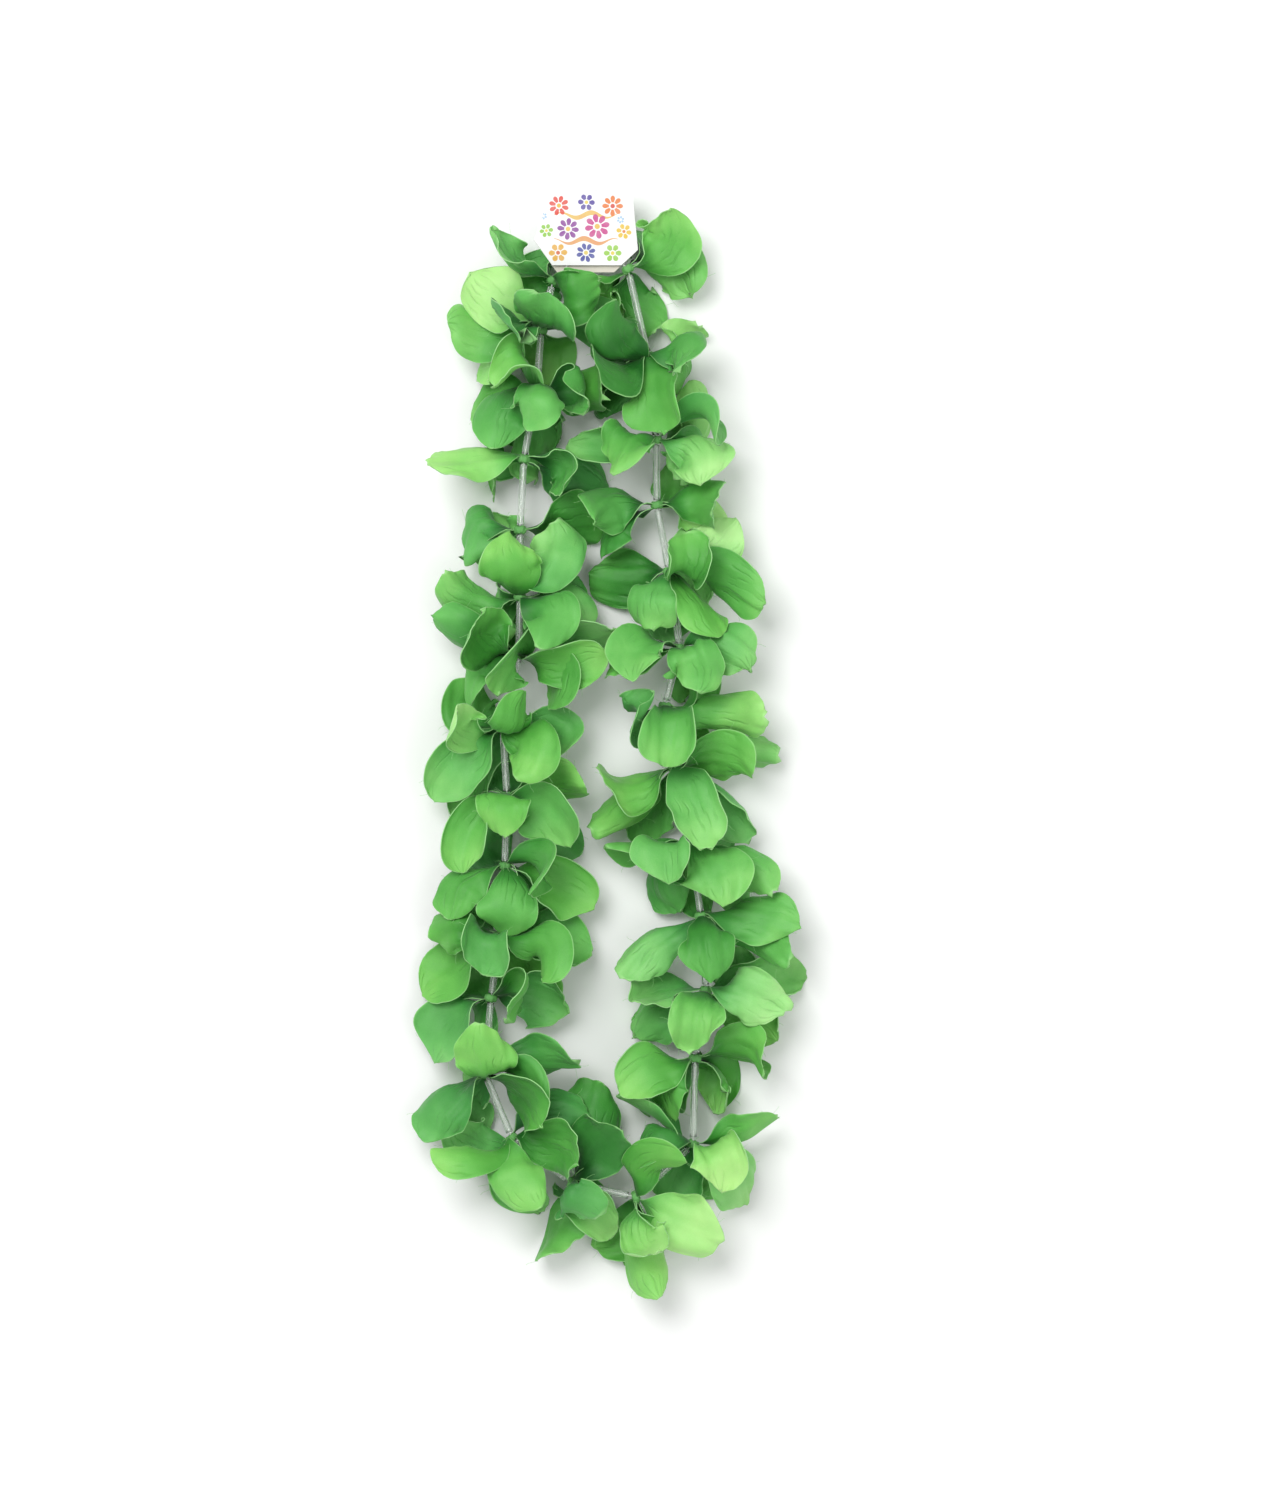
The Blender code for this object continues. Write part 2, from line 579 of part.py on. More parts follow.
def flat_outline(name, points, half_depth, collection, finish):
    """A filled flat outline as a solid, its middle on the outline's own plane."""
    curve = bpy.data.curves.new(name, "CURVE")
    curve.dimensions = "2D"
    curve.fill_mode = "BOTH"
    curve.extrude = half_depth
    spline = curve.splines.new("POLY")
    spline.points.add(len(points) - 1)
    for point, where in zip(spline.points, points):
        point.co = (where[0], where[1], 0, 1)
    spline.use_cyclic_u = True
    flat = bpy.data.objects.new(name, curve)
    collection.objects.link(flat)
    bpy.context.view_layer.update()
    mesh = bpy.data.meshes.new_from_object(flat.evaluated_get(bpy.context.evaluated_depsgraph_get()))
    bpy.data.objects.remove(flat, do_unlink=True)
    shape = bmesh.new()
    shape.from_mesh(mesh)
    bmesh.ops.remove_doubles(shape, verts=shape.verts, dist=0.00001)
    bmesh.ops.recalc_face_normals(shape, faces=shape.faces)
    shape.to_mesh(mesh)
    shape.free()
    return mesh_object(name, mesh, collection, finish)


def card_object(lei, cutters, finish):
    """The header card: one strip folded over the thread, cut to its outline and glued in the middle."""
    inner = CARD_LEAF_GAP / 2
    outer = inner + CARD_THICKNESS
    top = (VIEW_MIDDLE[1] - CARD_TOP) * VIEW_UNIT
    front_end = place(0, 265.5).y
    back_end = front_end - CARD_BACK_LEAF_DROP
    turn_centre = top - outer
    section = [(front_end, outer)]
    steps = 6
    for k in range(steps + 1):
        angle = math.pi / 2 - math.pi * k / steps
        section.append((turn_centre + outer * math.cos(angle), outer * math.sin(angle)))
    section += [(back_end, -outer), (back_end, -inner)]
    for k in range(steps + 1):
        angle = -math.pi / 2 + math.pi * k / steps
        section.append((turn_centre + inner * math.cos(angle), inner * math.sin(angle)))
    section.append((front_end, inner))
    card = flat_outline("header_card", section, 0.03, lei, finish)
    middle = place((CARD_OUTLINE[5][0] + CARD_OUTLINE[2][0]) / 2, 0).x
    card.data.transform(Matrix(((0, 0, 1, middle), (1, 0, 0, 0), (0, 1, 0, THREAD_HEIGHT), (0, 0, 0, 1))))
    patch_low, patch_high = (place(*corner) for corner in CARD_GLUED_PATCH)
    bpy.ops.mesh.primitive_cube_add(size=1, location=((patch_low + patch_high) / 2))
    patch = bpy.context.object
    patch.name = "glued_patch"
    patch.scale = (patch_high.x - patch_low.x, patch_low.y - patch_high.y, CARD_LEAF_GAP + CARD_THICKNESS)
    outline = [place(*corner).to_2d() for corner in CARD_OUTLINE]
    drop = Vector((0, CARD_BACK_LEAF_DROP * 1.5))
    outline[3] = outline[3] - drop
    outline[4] = outline[4] - drop
    cutter = flat_outline("card_outline", outline, 0.01, cutters, finish)
    cutter.location.z = THREAD_HEIGHT
    for guide in (patch, cutter):
        guide.hide_render = True
        guide.display_type = "WIRE"
    for name, operation, other in (("Glue", "UNION", patch), ("Cut", "INTERSECT", cutter)):
        change = card.modifiers.new(name, "BOOLEAN")
        change.operation = operation
        change.object = other
        change.solver = "EXACT"
    applied(card)
    for guide in (patch, cutter):
        bpy.data.objects.remove(guide, do_unlink=True)
    return card


def build():
    clear_scene()
    lei = new_collection("flower_lei")
    cutters = new_collection("cutters")
    fabric = material("green_fabric", (0.13, 0.40, 0.10), 0.62)
    plastic = material("clear_tube", (0.86, 0.92, 0.88), 0.12, transmission=0.9)
    cotton = material("white_thread", (0.82, 0.84, 0.80), 0.8)
    board = material("white_board", (0.90, 0.90, 0.89), 0.55)
    garland = string_blooms()
    for index, petals in enumerate(garland):
        bloom_object(index, petals, lei, fabric)
    for index in range(len(BLOOMS) - 1):
        tube_object(index, lei, plastic)
    thread_object(lei, cotton)
    card_object(lei, cutters, board)


build()
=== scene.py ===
"""Flower lei of die-cut green cloth blooms on a thread, with clear tube between them and a header card.

The lei lies on a table and is seen from above, with the card at the top of the picture.
"""

import itertools
import math
import random
from collections import namedtuple

import bmesh
import bpy
from mathutils import Matrix, Vector
from mathutils.bvhtree import BVHTree


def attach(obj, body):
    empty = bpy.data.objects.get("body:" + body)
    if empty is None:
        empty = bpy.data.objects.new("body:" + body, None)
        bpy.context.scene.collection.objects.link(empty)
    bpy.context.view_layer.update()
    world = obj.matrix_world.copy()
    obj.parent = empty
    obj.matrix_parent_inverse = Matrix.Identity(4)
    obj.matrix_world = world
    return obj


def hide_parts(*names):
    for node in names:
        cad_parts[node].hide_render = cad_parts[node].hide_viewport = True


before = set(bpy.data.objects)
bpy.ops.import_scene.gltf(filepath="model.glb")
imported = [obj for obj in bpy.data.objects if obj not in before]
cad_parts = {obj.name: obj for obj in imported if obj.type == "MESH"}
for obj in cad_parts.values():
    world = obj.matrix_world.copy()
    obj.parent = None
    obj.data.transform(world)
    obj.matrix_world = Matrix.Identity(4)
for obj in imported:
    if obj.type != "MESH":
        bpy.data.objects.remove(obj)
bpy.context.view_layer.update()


# The blooms. Each is a pair of die-cut rounds of green satin cloth, pressed together at the middle,
# whose petals were bent up and down by hand. The seats of the blooms on the thread and the tips of
# their petals are laid out on a front view, and every petal is bent aside until it clears the rest.

THREAD_HEIGHT = 0.021
THREAD_RADIUS = 0.00035
THREAD_BEND_REACH = 0.0012
TUBE_OUTER_RADIUS = 0.0017
TUBE_INNER_RADIUS = 0.0011
HUB_RADIUS = 0.0030
HUB_HALF_HEIGHT = 0.0019
PETAL_LENGTH = 0.041
FULL_LIFT = 0.026
LIFT_EASE = 0.7
PETAL_LONGEST_REACH = 0.050
PETAL_HALF_WIDTH = 0.0162
PETAL_ROOT_HALF_WIDTH = 0.0011
TIP_BLUNTNESS = 2.6
RIM_WAVE_TURNS = 5.2
PETAL_ROOT_RADIUS = 0.0020
PETAL_LEAST_REACH = 0.004
MOST_ARCH = 0.013
ARCH_SIDE_SHARE = 0.3
LEAST_FACING = 0.25
SHORT_WIDTH_SHARE = 0.35
SWELLING_POWER = 0.8
UNTWISTED_BY = 0.42
CUPPED_BY = 0.3
TIP_CURL_FROM = 0.55
LAYERED_OVER = (0.1, 0.5)
LEAST_SPARE_LENGTH = 0.012
PETAL_LEVELS = (-0.00135, 0.00045, -0.00045, 0.00135)
FABRIC_THICKNESS = 0.0007
CARD_THICKNESS = 0.0006
CARD_LEAF_GAP = 0.0017
RUNNING_GAP = 0.0003
VIEW_UNIT = 0.00048
VIEW_MIDDLE = (605.0, 742.0)
THREAD_IN_CARD = ((571, 262), (574, 240), (576, 215), (582, 202), (592, 198), (602, 202), (608, 215),
                  (611, 240), (615, 257))
RANDOM_SEED = 45
HIDDEN_PETALS = 1
HIDDEN_TIP_HEIGHT = 0.002
HIDDEN_LEAN = (0.45, 0.75)
HIDDEN_SPREAD = (0.2, 0.5)
HIDDEN_REACH = (0.024, 0.030)
HIDDEN_TURN = (-15, 15)
LOWEST_TIP = 0.001

# A bloom's seat on the view, then its petals as the place of the tip, the lift off the table side (1)
# or the sink to it (-1), and the turn of the face away from the viewer in degrees.
Bloom = namedtuple("Bloom", "seat petals")
BLOOMS = (
    Bloom((553, 281), ((503, 227, 0.3, 55), (604, 282, 0.6, 15), (614, 324, -0.4, 0), (519, 284, -0.5, 20))),
    Bloom((541, 330), ((465, 277, 0.4, 0), (449, 322, 0.15, 25), (447, 394, -0.3, 0), (592, 352, 0.6, 40),
                       (520, 350, 1.0, 10), (541, 297, 0.8, 20))),
    Bloom((537, 389), ((458, 414, 0.2, 20), (488, 446, 0.4, 35), (590, 408, 0.8, 40), (606, 386, 0.3, 10),
                       (570, 470, -0.25, 0), (490, 386, 0.8, 50), (526, 430, 0.9, 30))),
    Bloom((524, 459), ((430, 470, 0.2, 40), (576, 498, 0.3, 40), (607, 516, -0.2, 10),
                       (504, 494, -0.4, 60))),
    Bloom((520, 530), ((606, 538, 0.2, 30), (602, 564, 0.4, 0), (486, 518, -0.4, 10))),
    Bloom((520, 597), ((513, 530, 0.6, 20), (553, 522, 0.6, -25), (446, 574, 0.15, 15), (578, 574, -0.4, 10),
                       (576, 628, -0.4, 10), (534, 650, 0.6, 10))),
    Bloom((519, 655), ((433, 626, 0.15, 10), (478, 604, 0.7, 20), (620, 618, 0.3, 65), (594, 645, 0.3, 40),
                       (472, 690, 0.3, 20), (497, 690, 0.7, -20), (534, 700, 0.5, 45))),
    Bloom((503, 728), ((455, 702, 0.5, 0), (538, 700, 0.6, 30), (436, 790, 0.1, 40), (456, 828, -0.2, 30),
                       (548, 762, 0.4, 40), (516, 775, 0.8, 30))),
    Bloom((507, 796), ((468, 864, 0.5, 5), (587, 786, 0.3, 25), (550, 858, 0.4, 0), (586, 846, -0.2, 10),
                       (488, 838, 0.8, 30))),
    Bloom((505, 866), ((440, 912, 0.2, 50), (512, 938, 0.6, 0), (592, 902, 0.1, 5), (576, 936, -0.3, 10),
                       (538, 896, 0.8, 40))),
    Bloom((500, 936), ((424, 932, 0.3, 15), (484, 974, 0.8, 10), (590, 962, 0.2, 0), (572, 998, -0.2, 10),
                       (420, 988, -0.1, 45), (514, 992, 0.6, 30))),
    Bloom((491, 998), ((436, 1058, 0.0, 40), (442, 1082, -0.4, 50), (517, 1020, 0.7, 40),
                       (562, 1032, 0.3, 10))),
    Bloom((485, 1074), ((482, 1024, 0.7, 0), (421, 1140, 0.1, 30), (524, 1120, 0.6, 0), (579, 1064, 0.3, 35),
                        (560, 1108, 0.1, 0), (478, 1140, -0.3, 20))),
    Bloom((512, 1138), ((437, 1158, 0.2, 35), (541, 1202, 0.3, 0), (522, 1216, -0.4, 30),
                        (590, 1124, -0.1, 0), (590, 1156, 0.6, 45))),
    Bloom((572, 1183), ((600, 1086, 0.2, 35), (622, 1126, 0.8, 0), (560, 1254, 0.2, 50), (636, 1250, 0.1, 0),
                        (598, 1214, 0.6, 40))),
    Bloom((636, 1197), ((664, 1248, 0.7, 0), (682, 1158, 0.8, 40), (666, 1290, 0.1, 0),
                        (628, 1270, -0.4, 30), (722, 1234, 0.35, 0))),
    Bloom((693, 1144), ((612, 1110, 0.3, 30), (780, 1124, 0.25, 60), (722, 1192, 0.6, 0),
                        (753, 1206, -0.1, 10), (654, 1168, 0.6, 40), (690, 1214, -0.3, 0))),
    Bloom((695, 1058), ((618, 1100, 0.3, 20), (642, 1118, 0.0, 10), (772, 1070, 0.3, 45),
                        (684, 1117, 0.0, 60), (708, 1110, -0.3, 65))),
    Bloom((706, 990), ((631, 1010, 0.3, 50), (626, 1034, -0.2, 30), (694, 1050, 0.6, 0), (784, 1010, 0.4, 0),
                       (812, 984, -0.2, 10), (778, 1042, -0.1, 20))),
    Bloom((701, 916), ((625, 974, 0.15, 25), (710, 980, 0.6, 0), (800, 930, -0.1, 20), (786, 972, 0.2, 0))),
    Bloom((691, 846), ((613, 858, 0.1, 60), (670, 884, 0.6, 40), (722, 906, 0.7, 0), (772, 890, 0.3, 20),
                       (748, 914, -0.2, 30), (678, 916, -0.2, 30))),
    Bloom((674, 768), ((593, 778, 0.2, 45), (589, 824, 0.1, 5), (704, 845, 0.6, 0), (745, 780, 0.6, 65),
                       (787, 798, -0.1, 20), (756, 838, -0.2, 20), (650, 842, -0.2, 0))),
    Bloom((665, 706), ((668, 764, 0.6, 0), (776, 718, 0.2, 0), (650, 690, 0.8, 60), (716, 764, -0.3, 10))),
    Bloom((680, 648), ((597, 650, 0.3, 30), (642, 682, 0.5, 25), (767, 632, 0.2, 30), (752, 674, 0.3, 30),
                       (694, 692, 0.8, 20))),
    Bloom((669, 571), ((636, 642, 0.5, 30), (712, 642, 0.5, -30), (766, 604, 0.5, 35), (592, 572, -0.2, 0),
                       (660, 640, -0.3, 20), (739, 520, 0.3, 0), (690, 534, 0.8, 20))),
    Bloom((657, 505), ((611, 520, 0.6, 10), (602, 560, -0.1, 20), (700, 508, 0.8, 0), (722, 548, 0.1, 0))),
    Bloom((656, 440), ((574, 441, 0.2, 25), (617, 476, 0.6, 30), (717, 450, 0.3, 55), (684, 384, -0.4, 20),
                       (702, 486, 0.6, 0))),
    Bloom((648, 356), ((594, 396, 0.4, 55), (652, 436, 0.5, 30), (680, 386, 0.9, 10), (702, 330, -0.1, 50),
                       (596, 408, -0.4, 10), (634, 296, 0.7, 30), (590, 350, 0.3, 45))),
    Bloom((628, 269), ((670, 210, 0.3, 10), (690, 298, 0.2, 30), (615, 298, -0.3, 50),
                       (654, 322, -0.2, 10))),
)

SWINGS, SWING_COUNTS_AS = (0, 7, -7, 14, -14, 22, -22), 6.0
RISES, RISE_COUNTS_AS = (0, 0.003, -0.003, 0.006, -0.006, 0.010, -0.010, 0.014, -0.014), 0.004
ROLLS, ROLL_COUNTS_AS = (0, 20, -20, 40, -40), 20.0
FOLDS, FOLD_COUNTS_AS = (0, 0.5), 0.3
LENGTHS, LENGTH_COUNTS_AS = (1.0, 0.86, 0.72), 0.05
MOST_BENT = 7.5
NEIGHBOUR_REACH = 0.094
CLEARANCE = 0.00025
OWN_CLEARANCE = 0.0001
TUBE_ROD_SPREAD = 1.16
THREAD_ROD_SPREAD = 1.3
CARD_ROOM = ((552, 274, 618, 186), (533, 256, 639, 186))
STATIONS = (0.0, 0.25, 0.58, 0.94, 1.0)
TOWARDS_VIEWER = Vector((0, 0, 1))


def place(across, down, height=THREAD_HEIGHT):
    """A point of the front view, in metres on the lei."""
    return Vector(((across - VIEW_MIDDLE[0]) * VIEW_UNIT, (VIEW_MIDDLE[1] - down) * VIEW_UNIT, height))


def blend(low, high, value):
    """A smooth step from 0 at low to 1 at high."""
    step = min(max((value - low) / (high - low), 0.0), 1.0)
    return step * step * (3 - 2 * step)


def square_to(vector, axis):
    """The part of a vector that is square to an axis."""
    return vector - axis * vector.dot(axis)


class Petal:
    """One fabric petal: a rib that leaves the hub squarely and arches over to its tip."""

    def __init__(self, seat, along, reach, rise, turn, level, fold, length, draw):
        self.draw = draw
        self.cup = draw["cup"] + math.copysign(fold, draw["cup"])
        tip = seat + reach + Vector((0, 0, rise))
        radial = square_to(tip - seat, along)
        if radial.length < PETAL_LEAST_REACH:
            radial = square_to(TOWARDS_VIEWER * (1 if rise >= 0 else -1), along)
        radial.normalize()
        self.root = seat + radial * PETAL_ROOT_RADIUS + along * level
        self.chord = (tip - self.root) * length
        heading = self.chord.normalized()
        facing = square_to(TOWARDS_VIEWER, heading)
        if facing.length < LEAST_FACING:
            facing = square_to(along, heading)
        facing = Matrix.Rotation(math.radians(turn), 3, heading) @ facing.normalized()
        spare = max(PETAL_LENGTH * length / self.chord.length - 1, LEAST_SPARE_LENGTH)
        self.arch = min(2 * self.chord.length / math.pi * math.sqrt(spare), MOST_ARCH)
        arch_side = facing * draw["arch_side"] * ARCH_SIDE_SHARE
        self.arch_way = (square_to(radial, heading) + arch_side).normalized()
        self.blade_across = heading.cross(facing)
        self.root_across = along.cross(radial)
        if self.root_across.dot(self.blade_across) < 0:
            self.root_across = -self.root_across
        narrowed = SHORT_WIDTH_SHARE + (1 - SHORT_WIDTH_SHARE) * length
        self.half_width = PETAL_HALF_WIDTH * draw["width"] * narrowed

    def half_width_at(self, along):
        """Half the petal's width at along: swelling from the root, and rounded at the tip."""
        widest = self.draw["widest"]
        swelling = math.sin(math.pi / 2 * min(along / widest, 1)) ** SWELLING_POWER
        past = min(max(along - widest, 0) / (1 - widest), 1)
        rounded = math.sqrt(1 - past ** TIP_BLUNTNESS)
        return max(self.half_width * swelling * rounded, PETAL_ROOT_HALF_WIDTH * (1 - along))

    def point(self, across, along):
        """The point at across (-1 to 1) and along (0 at the root, 1 at the tip) on the sheet."""
        rib = self.root + self.chord * along + self.arch_way * self.arch * math.sin(math.pi * along)
        heading = self.chord + self.arch_way * self.arch * math.pi * math.cos(math.pi * along)
        heading.normalize()
        width_way = self.root_across.lerp(self.blade_across, blend(0.0, UNTWISTED_BY, along))
        width_way = square_to(width_way, heading).normalized()
        face = heading.cross(width_way)
        half = self.half_width_at(along)
        share = half / PETAL_HALF_WIDTH
        draw = self.draw
        curl = self.cup * blend(0.0, CUPPED_BY, along)
        sideways = half * math.sin(curl * across) / curl if curl else half * across
        rise = half * (1 - math.cos(curl * across)) / curl if curl else 0.0
        wave, phase = draw["waves"][across > 0]
        rise += wave * across * across * share * math.sin(RIM_WAVE_TURNS * along + phase)
        rise += draw["curl"] * blend(TIP_CURL_FROM, 1.0, along)
        found = rib + width_way * sideways + face * rise
        found.z = max(found.z, FABRIC_THICKNESS / 2 + draw["layer"] * blend(*LAYERED_OVER, along))
        return found

    def shell(self, margin, first=0):
        """The corners and triangles of the thick petal, for the test against its neighbours."""
        thick = FABRIC_THICKNESS / 2 + margin
        rows = [[self.point(u, s) for u in (-1, 0, 1)] for s in STATIONS[first:]]
        corners, faces = [], []
        count = len(rows)
        for sign in (1, -1):
            for i, row in enumerate(rows):
                for j in range(3):
                    ahead = rows[min(i + 1, count - 1)][j] - rows[max(i - 1, 0)][j]
                    wide = rows[min(i, count - 2)][2] - rows[min(i, count - 2)][0]
                    corners.append(row[j] + ahead.cross(wide).normalized() * thick * sign)
        back = count * 3
        for i in range(count - 1):
            for j in range(2):
                a = i * 3 + j
                for base in (0, back):
                    faces.append((base + a, base + a + 1, base + a + 4))
                    faces.append((base + a, base + a + 4, base + a + 3))
            for j in (0, 2):
                a = i * 3 + j
                faces.append((a, a + 3, a + 3 + back))
                faces.append((a, a + 3 + back, a + back))
        return corners, faces


def petal_draw(dice):
    """The chance part of one petal's form."""
    return {
        "width": dice.uniform(0.92, 1.08),
        "arch_side": dice.choice((-1, 1)),
        "widest": dice.uniform(0.50, 0.68),
        "cup": dice.choice((-1, 1, 1)) * dice.uniform(0.45, 1.35),
        "waves": [(dice.uniform(0.0015, 0.0050), dice.uniform(0, 2 * math.pi)) for _ in range(2)],
        "curl": dice.choice((-1, 1)) * dice.uniform(0.001, 0.007),
        "layer": dice.uniform(0.0, 0.002),
    }


def solid(shell):
    """The corners and faces of a shell, ready to be tested against others."""
    return BVHTree.FromPolygons(*shell)


def rod_shell(start, end, radius):
    """A six-sided rod, for the test of a petal against tube and thread."""
    axis = (end - start).normalized()
    first = axis.orthogonal().normalized()
    second = axis.cross(first)
    corners, faces = [], []
    for centre in (start, end):
        for k in range(6):
            angle = math.pi * k / 3
            corners.append(centre + (first * math.cos(angle) + second * math.sin(angle)) * radius)
    for k in range(6):
        n = (k + 1) % 6
        faces += [(k, n, n + 6), (k, n + 6, k + 6)]
    faces += [(0, k, k + 1) for k in range(1, 5)] + [(6, 6 + k, 7 + k) for k in range(1, 5)]
    return corners, faces


def box_shell(low, high):
    """A box, for the test of a petal against the card."""
    corners = [Vector((x, y, z)) for x in (low.x, high.x) for y in (low.y, high.y) for z in (low.z, high.z)]
    faces = [(0, 1, 3, 2), (4, 6, 7, 5), (0, 4, 5, 1), (2, 3, 7, 6), (0, 2, 6, 4), (1, 5, 7, 3)]
    return corners, faces


SEATS = [place(*bloom.seat) for bloom in BLOOMS]


def beside(index):
    """Where the thread comes from and where it goes to at a bloom: the next seats, or the card."""
    before = SEATS[index - 1] if index else place(*THREAD_IN_CARD[0])
    after = SEATS[index + 1] if index + 1 < len(SEATS) else place(*THREAD_IN_CARD[-1])
    return before, after


def thread_route():
    """The loop of thread: straight through each tube, a short bend in each bloom, and round the card."""
    route = [centre + (other - centre).normalized() * THREAD_BEND_REACH
             for index, centre in enumerate(SEATS) for other in beside(index)]
    return route + [place(*point) for point in reversed(THREAD_IN_CARD)]


def axis_at(index):
    """The way the thread runs at a bloom, from the bloom before to the bloom after."""
    before, after = beside(index)
    into = (SEATS[index] - before).normalized()
    out = (after - SEATS[index]).normalized()
    return (into + out).normalized()


def tube_ends(index):
    """The two ends of the tube between a bloom and the next."""
    start, end = SEATS[index], SEATS[index + 1]
    run = (end - start).normalized()
    ends = []
    for centre, axis, way in ((start, axis_at(index), 1), (end, axis_at(index + 1), -1)):
        lean = math.sqrt(max(1 - run.dot(axis) ** 2, 0))
        setback = HUB_HALF_HEIGHT + RUNNING_GAP + (TUBE_OUTER_RADIUS + HUB_RADIUS * 0.5) * lean
        ends.append(centre + run * way * setback)
    return ends


def hidden_petals(index, dice):
    """Petals on the table side, which the front view does not show, as reaches, rises and turns."""
    along = axis_at(index)
    sideways = along.cross(TOWARDS_VIEWER)
    found = []
    for _ in range(HIDDEN_PETALS):
        lean = dice.uniform(*HIDDEN_LEAN) * dice.choice((-1, 1))
        way = (along * lean + sideways * dice.uniform(*HIDDEN_SPREAD)).normalized()
        found.append((way * dice.uniform(*HIDDEN_REACH), HIDDEN_TIP_HEIGHT - THREAD_HEIGHT,
                      dice.uniform(*HIDDEN_TURN)))
    return found


def wanted_petals(index, dice):
    """Every petal of one bloom as a reach on the table, a rise and a turn."""
    found = []
    for tip_across, tip_down, lift, turn in BLOOMS[index].petals:
        reach = place(tip_across, tip_down) - SEATS[index]
        if reach.length > PETAL_LONGEST_REACH:
            reach *= PETAL_LONGEST_REACH / reach.length
        rise = math.copysign(abs(lift) ** LIFT_EASE, lift) * (FULL_LIFT if lift > 0 else THREAD_HEIGHT)
        found.append((reach, rise, turn))
    return found + hidden_petals(index, dice)


def fixed_shells():
    """The tubes, the thread in the card and the card, which every petal clears."""
    shells = []
    for index in range(len(BLOOMS) - 1):
        shells.append(rod_shell(*tube_ends(index), TUBE_OUTER_RADIUS * TUBE_ROD_SPREAD + CLEARANCE))
    inside = [SEATS[0], *[place(*point) for point in THREAD_IN_CARD], SEATS[-1]]
    for start, end in zip(inside, inside[1:]):
        shells.append(rod_shell(start, end, THREAD_RADIUS * THREAD_ROD_SPREAD + CLEARANCE))
    half = CARD_LEAF_GAP / 2 + CARD_THICKNESS + CLEARANCE
    for left, foot, right, head in CARD_ROOM:
        low = place(left, foot, THREAD_HEIGHT - half)
        high = place(right, head, THREAD_HEIGHT + half)
        shells.append(box_shell(low, high))
    return shells


def petal_levels(wanted, along):
    """A level in the hub for each petal, unlike those of the petals beside it round the thread."""
    first = along.orthogonal().normalized()
    second = along.cross(first)
    angles = []
    for reach, rise, _ in wanted:
        way = reach + Vector((0, 0, rise))
        angles.append(math.atan2(way.dot(second), way.dot(first)))
    order = sorted(range(len(wanted)), key=lambda k: angles[k])
    return {k: PETAL_LEVELS[rank % len(PETAL_LEVELS)] for rank, k in enumerate(order)}


def string_blooms():
    """All petals by bloom. Those nearest the viewer take their places first, and each later one is
    bent aside or shortened until it clears those before it."""
    others = [(None, solid(shell)) for shell in fixed_shells()]
    queue = []
    for i, centre in enumerate(SEATS):
        axis = axis_at(i) * (HUB_HALF_HEIGHT + CLEARANCE)
        others.append((i, solid(rod_shell(centre - axis, centre + axis, HUB_RADIUS + CLEARANCE))))
        dice = random.Random(RANDOM_SEED + i)
        wanted = wanted_petals(i, dice)
        levels = petal_levels(wanted, axis_at(i))
        for k, petal in enumerate(wanted):
            hidden = k >= len(BLOOMS[i].petals)
            queue.append((hidden, -petal[1], i, petal, levels[k], petal_draw(dice), k))
    queue.sort(key=lambda job: job[:3])
    bends = ways_aside()
    garland = [[] for _ in BLOOMS]
    for _, _, i, wanted, level, draw, k in queue:
        rivals = [found for j, found in others if j is None
                  or (j != i and (SEATS[j] - SEATS[i]).length < NEIGHBOUR_REACH)]
        petal = cleared_petal(i, level, wanted, draw, rivals, garland[i], bends)
        if petal is not None:
            petal.number = k
            garland[i].append(petal)
            others.append((i, solid(petal.shell(CLEARANCE))))
    return garland


def ways_aside():
    """Every way to bend a petal aside, the slightest first."""
    found = []
    for swing, rise, roll, fold, length in itertools.product(SWINGS, RISES, ROLLS, FOLDS, LENGTHS):
        bend = abs(swing) / SWING_COUNTS_AS + abs(rise) / RISE_COUNTS_AS + abs(roll) / ROLL_COUNTS_AS
        bend += fold / FOLD_COUNTS_AS + (1 - length) / LENGTH_COUNTS_AS
        found.append((bend, swing, rise, roll, fold, length))
    return [way[1:] for way in sorted(found, key=lambda way: way[0]) if way[0] < MOST_BENT]


def cleared_petal(index, level, wanted, draw, rivals, own, bends):
    """The first petal near its wanted place that crosses nothing, or None."""
    along = axis_at(index)
    reach, rise, turn = wanted
    own_whole = [solid(petal.shell(OWN_CLEARANCE)) for petal in own]
    own_outer = [solid(petal.shell(OWN_CLEARANCE, first=1)) for petal in own]
    second_best = None
    for swing, lift, roll, fold, length in bends:
        swung = Matrix.Rotation(math.radians(swing), 3, "Z") @ reach
        height = max(rise + lift, LOWEST_TIP - THREAD_HEIGHT)
        petal = Petal(SEATS[index], along, swung, height, turn + roll, level, fold, length, draw)
        found = solid(petal.shell(0.0))
        if any(found.overlap(rival) for rival in rivals):
            continue
        if not any(found.overlap(rival) for rival in own_whole):
            return petal
        if second_best is None:
            outer = solid(petal.shell(0.0, first=1))
            if not any(outer.overlap(rival) for rival in own_outer):
                second_best = petal
    return second_best


GARLAND = string_blooms()

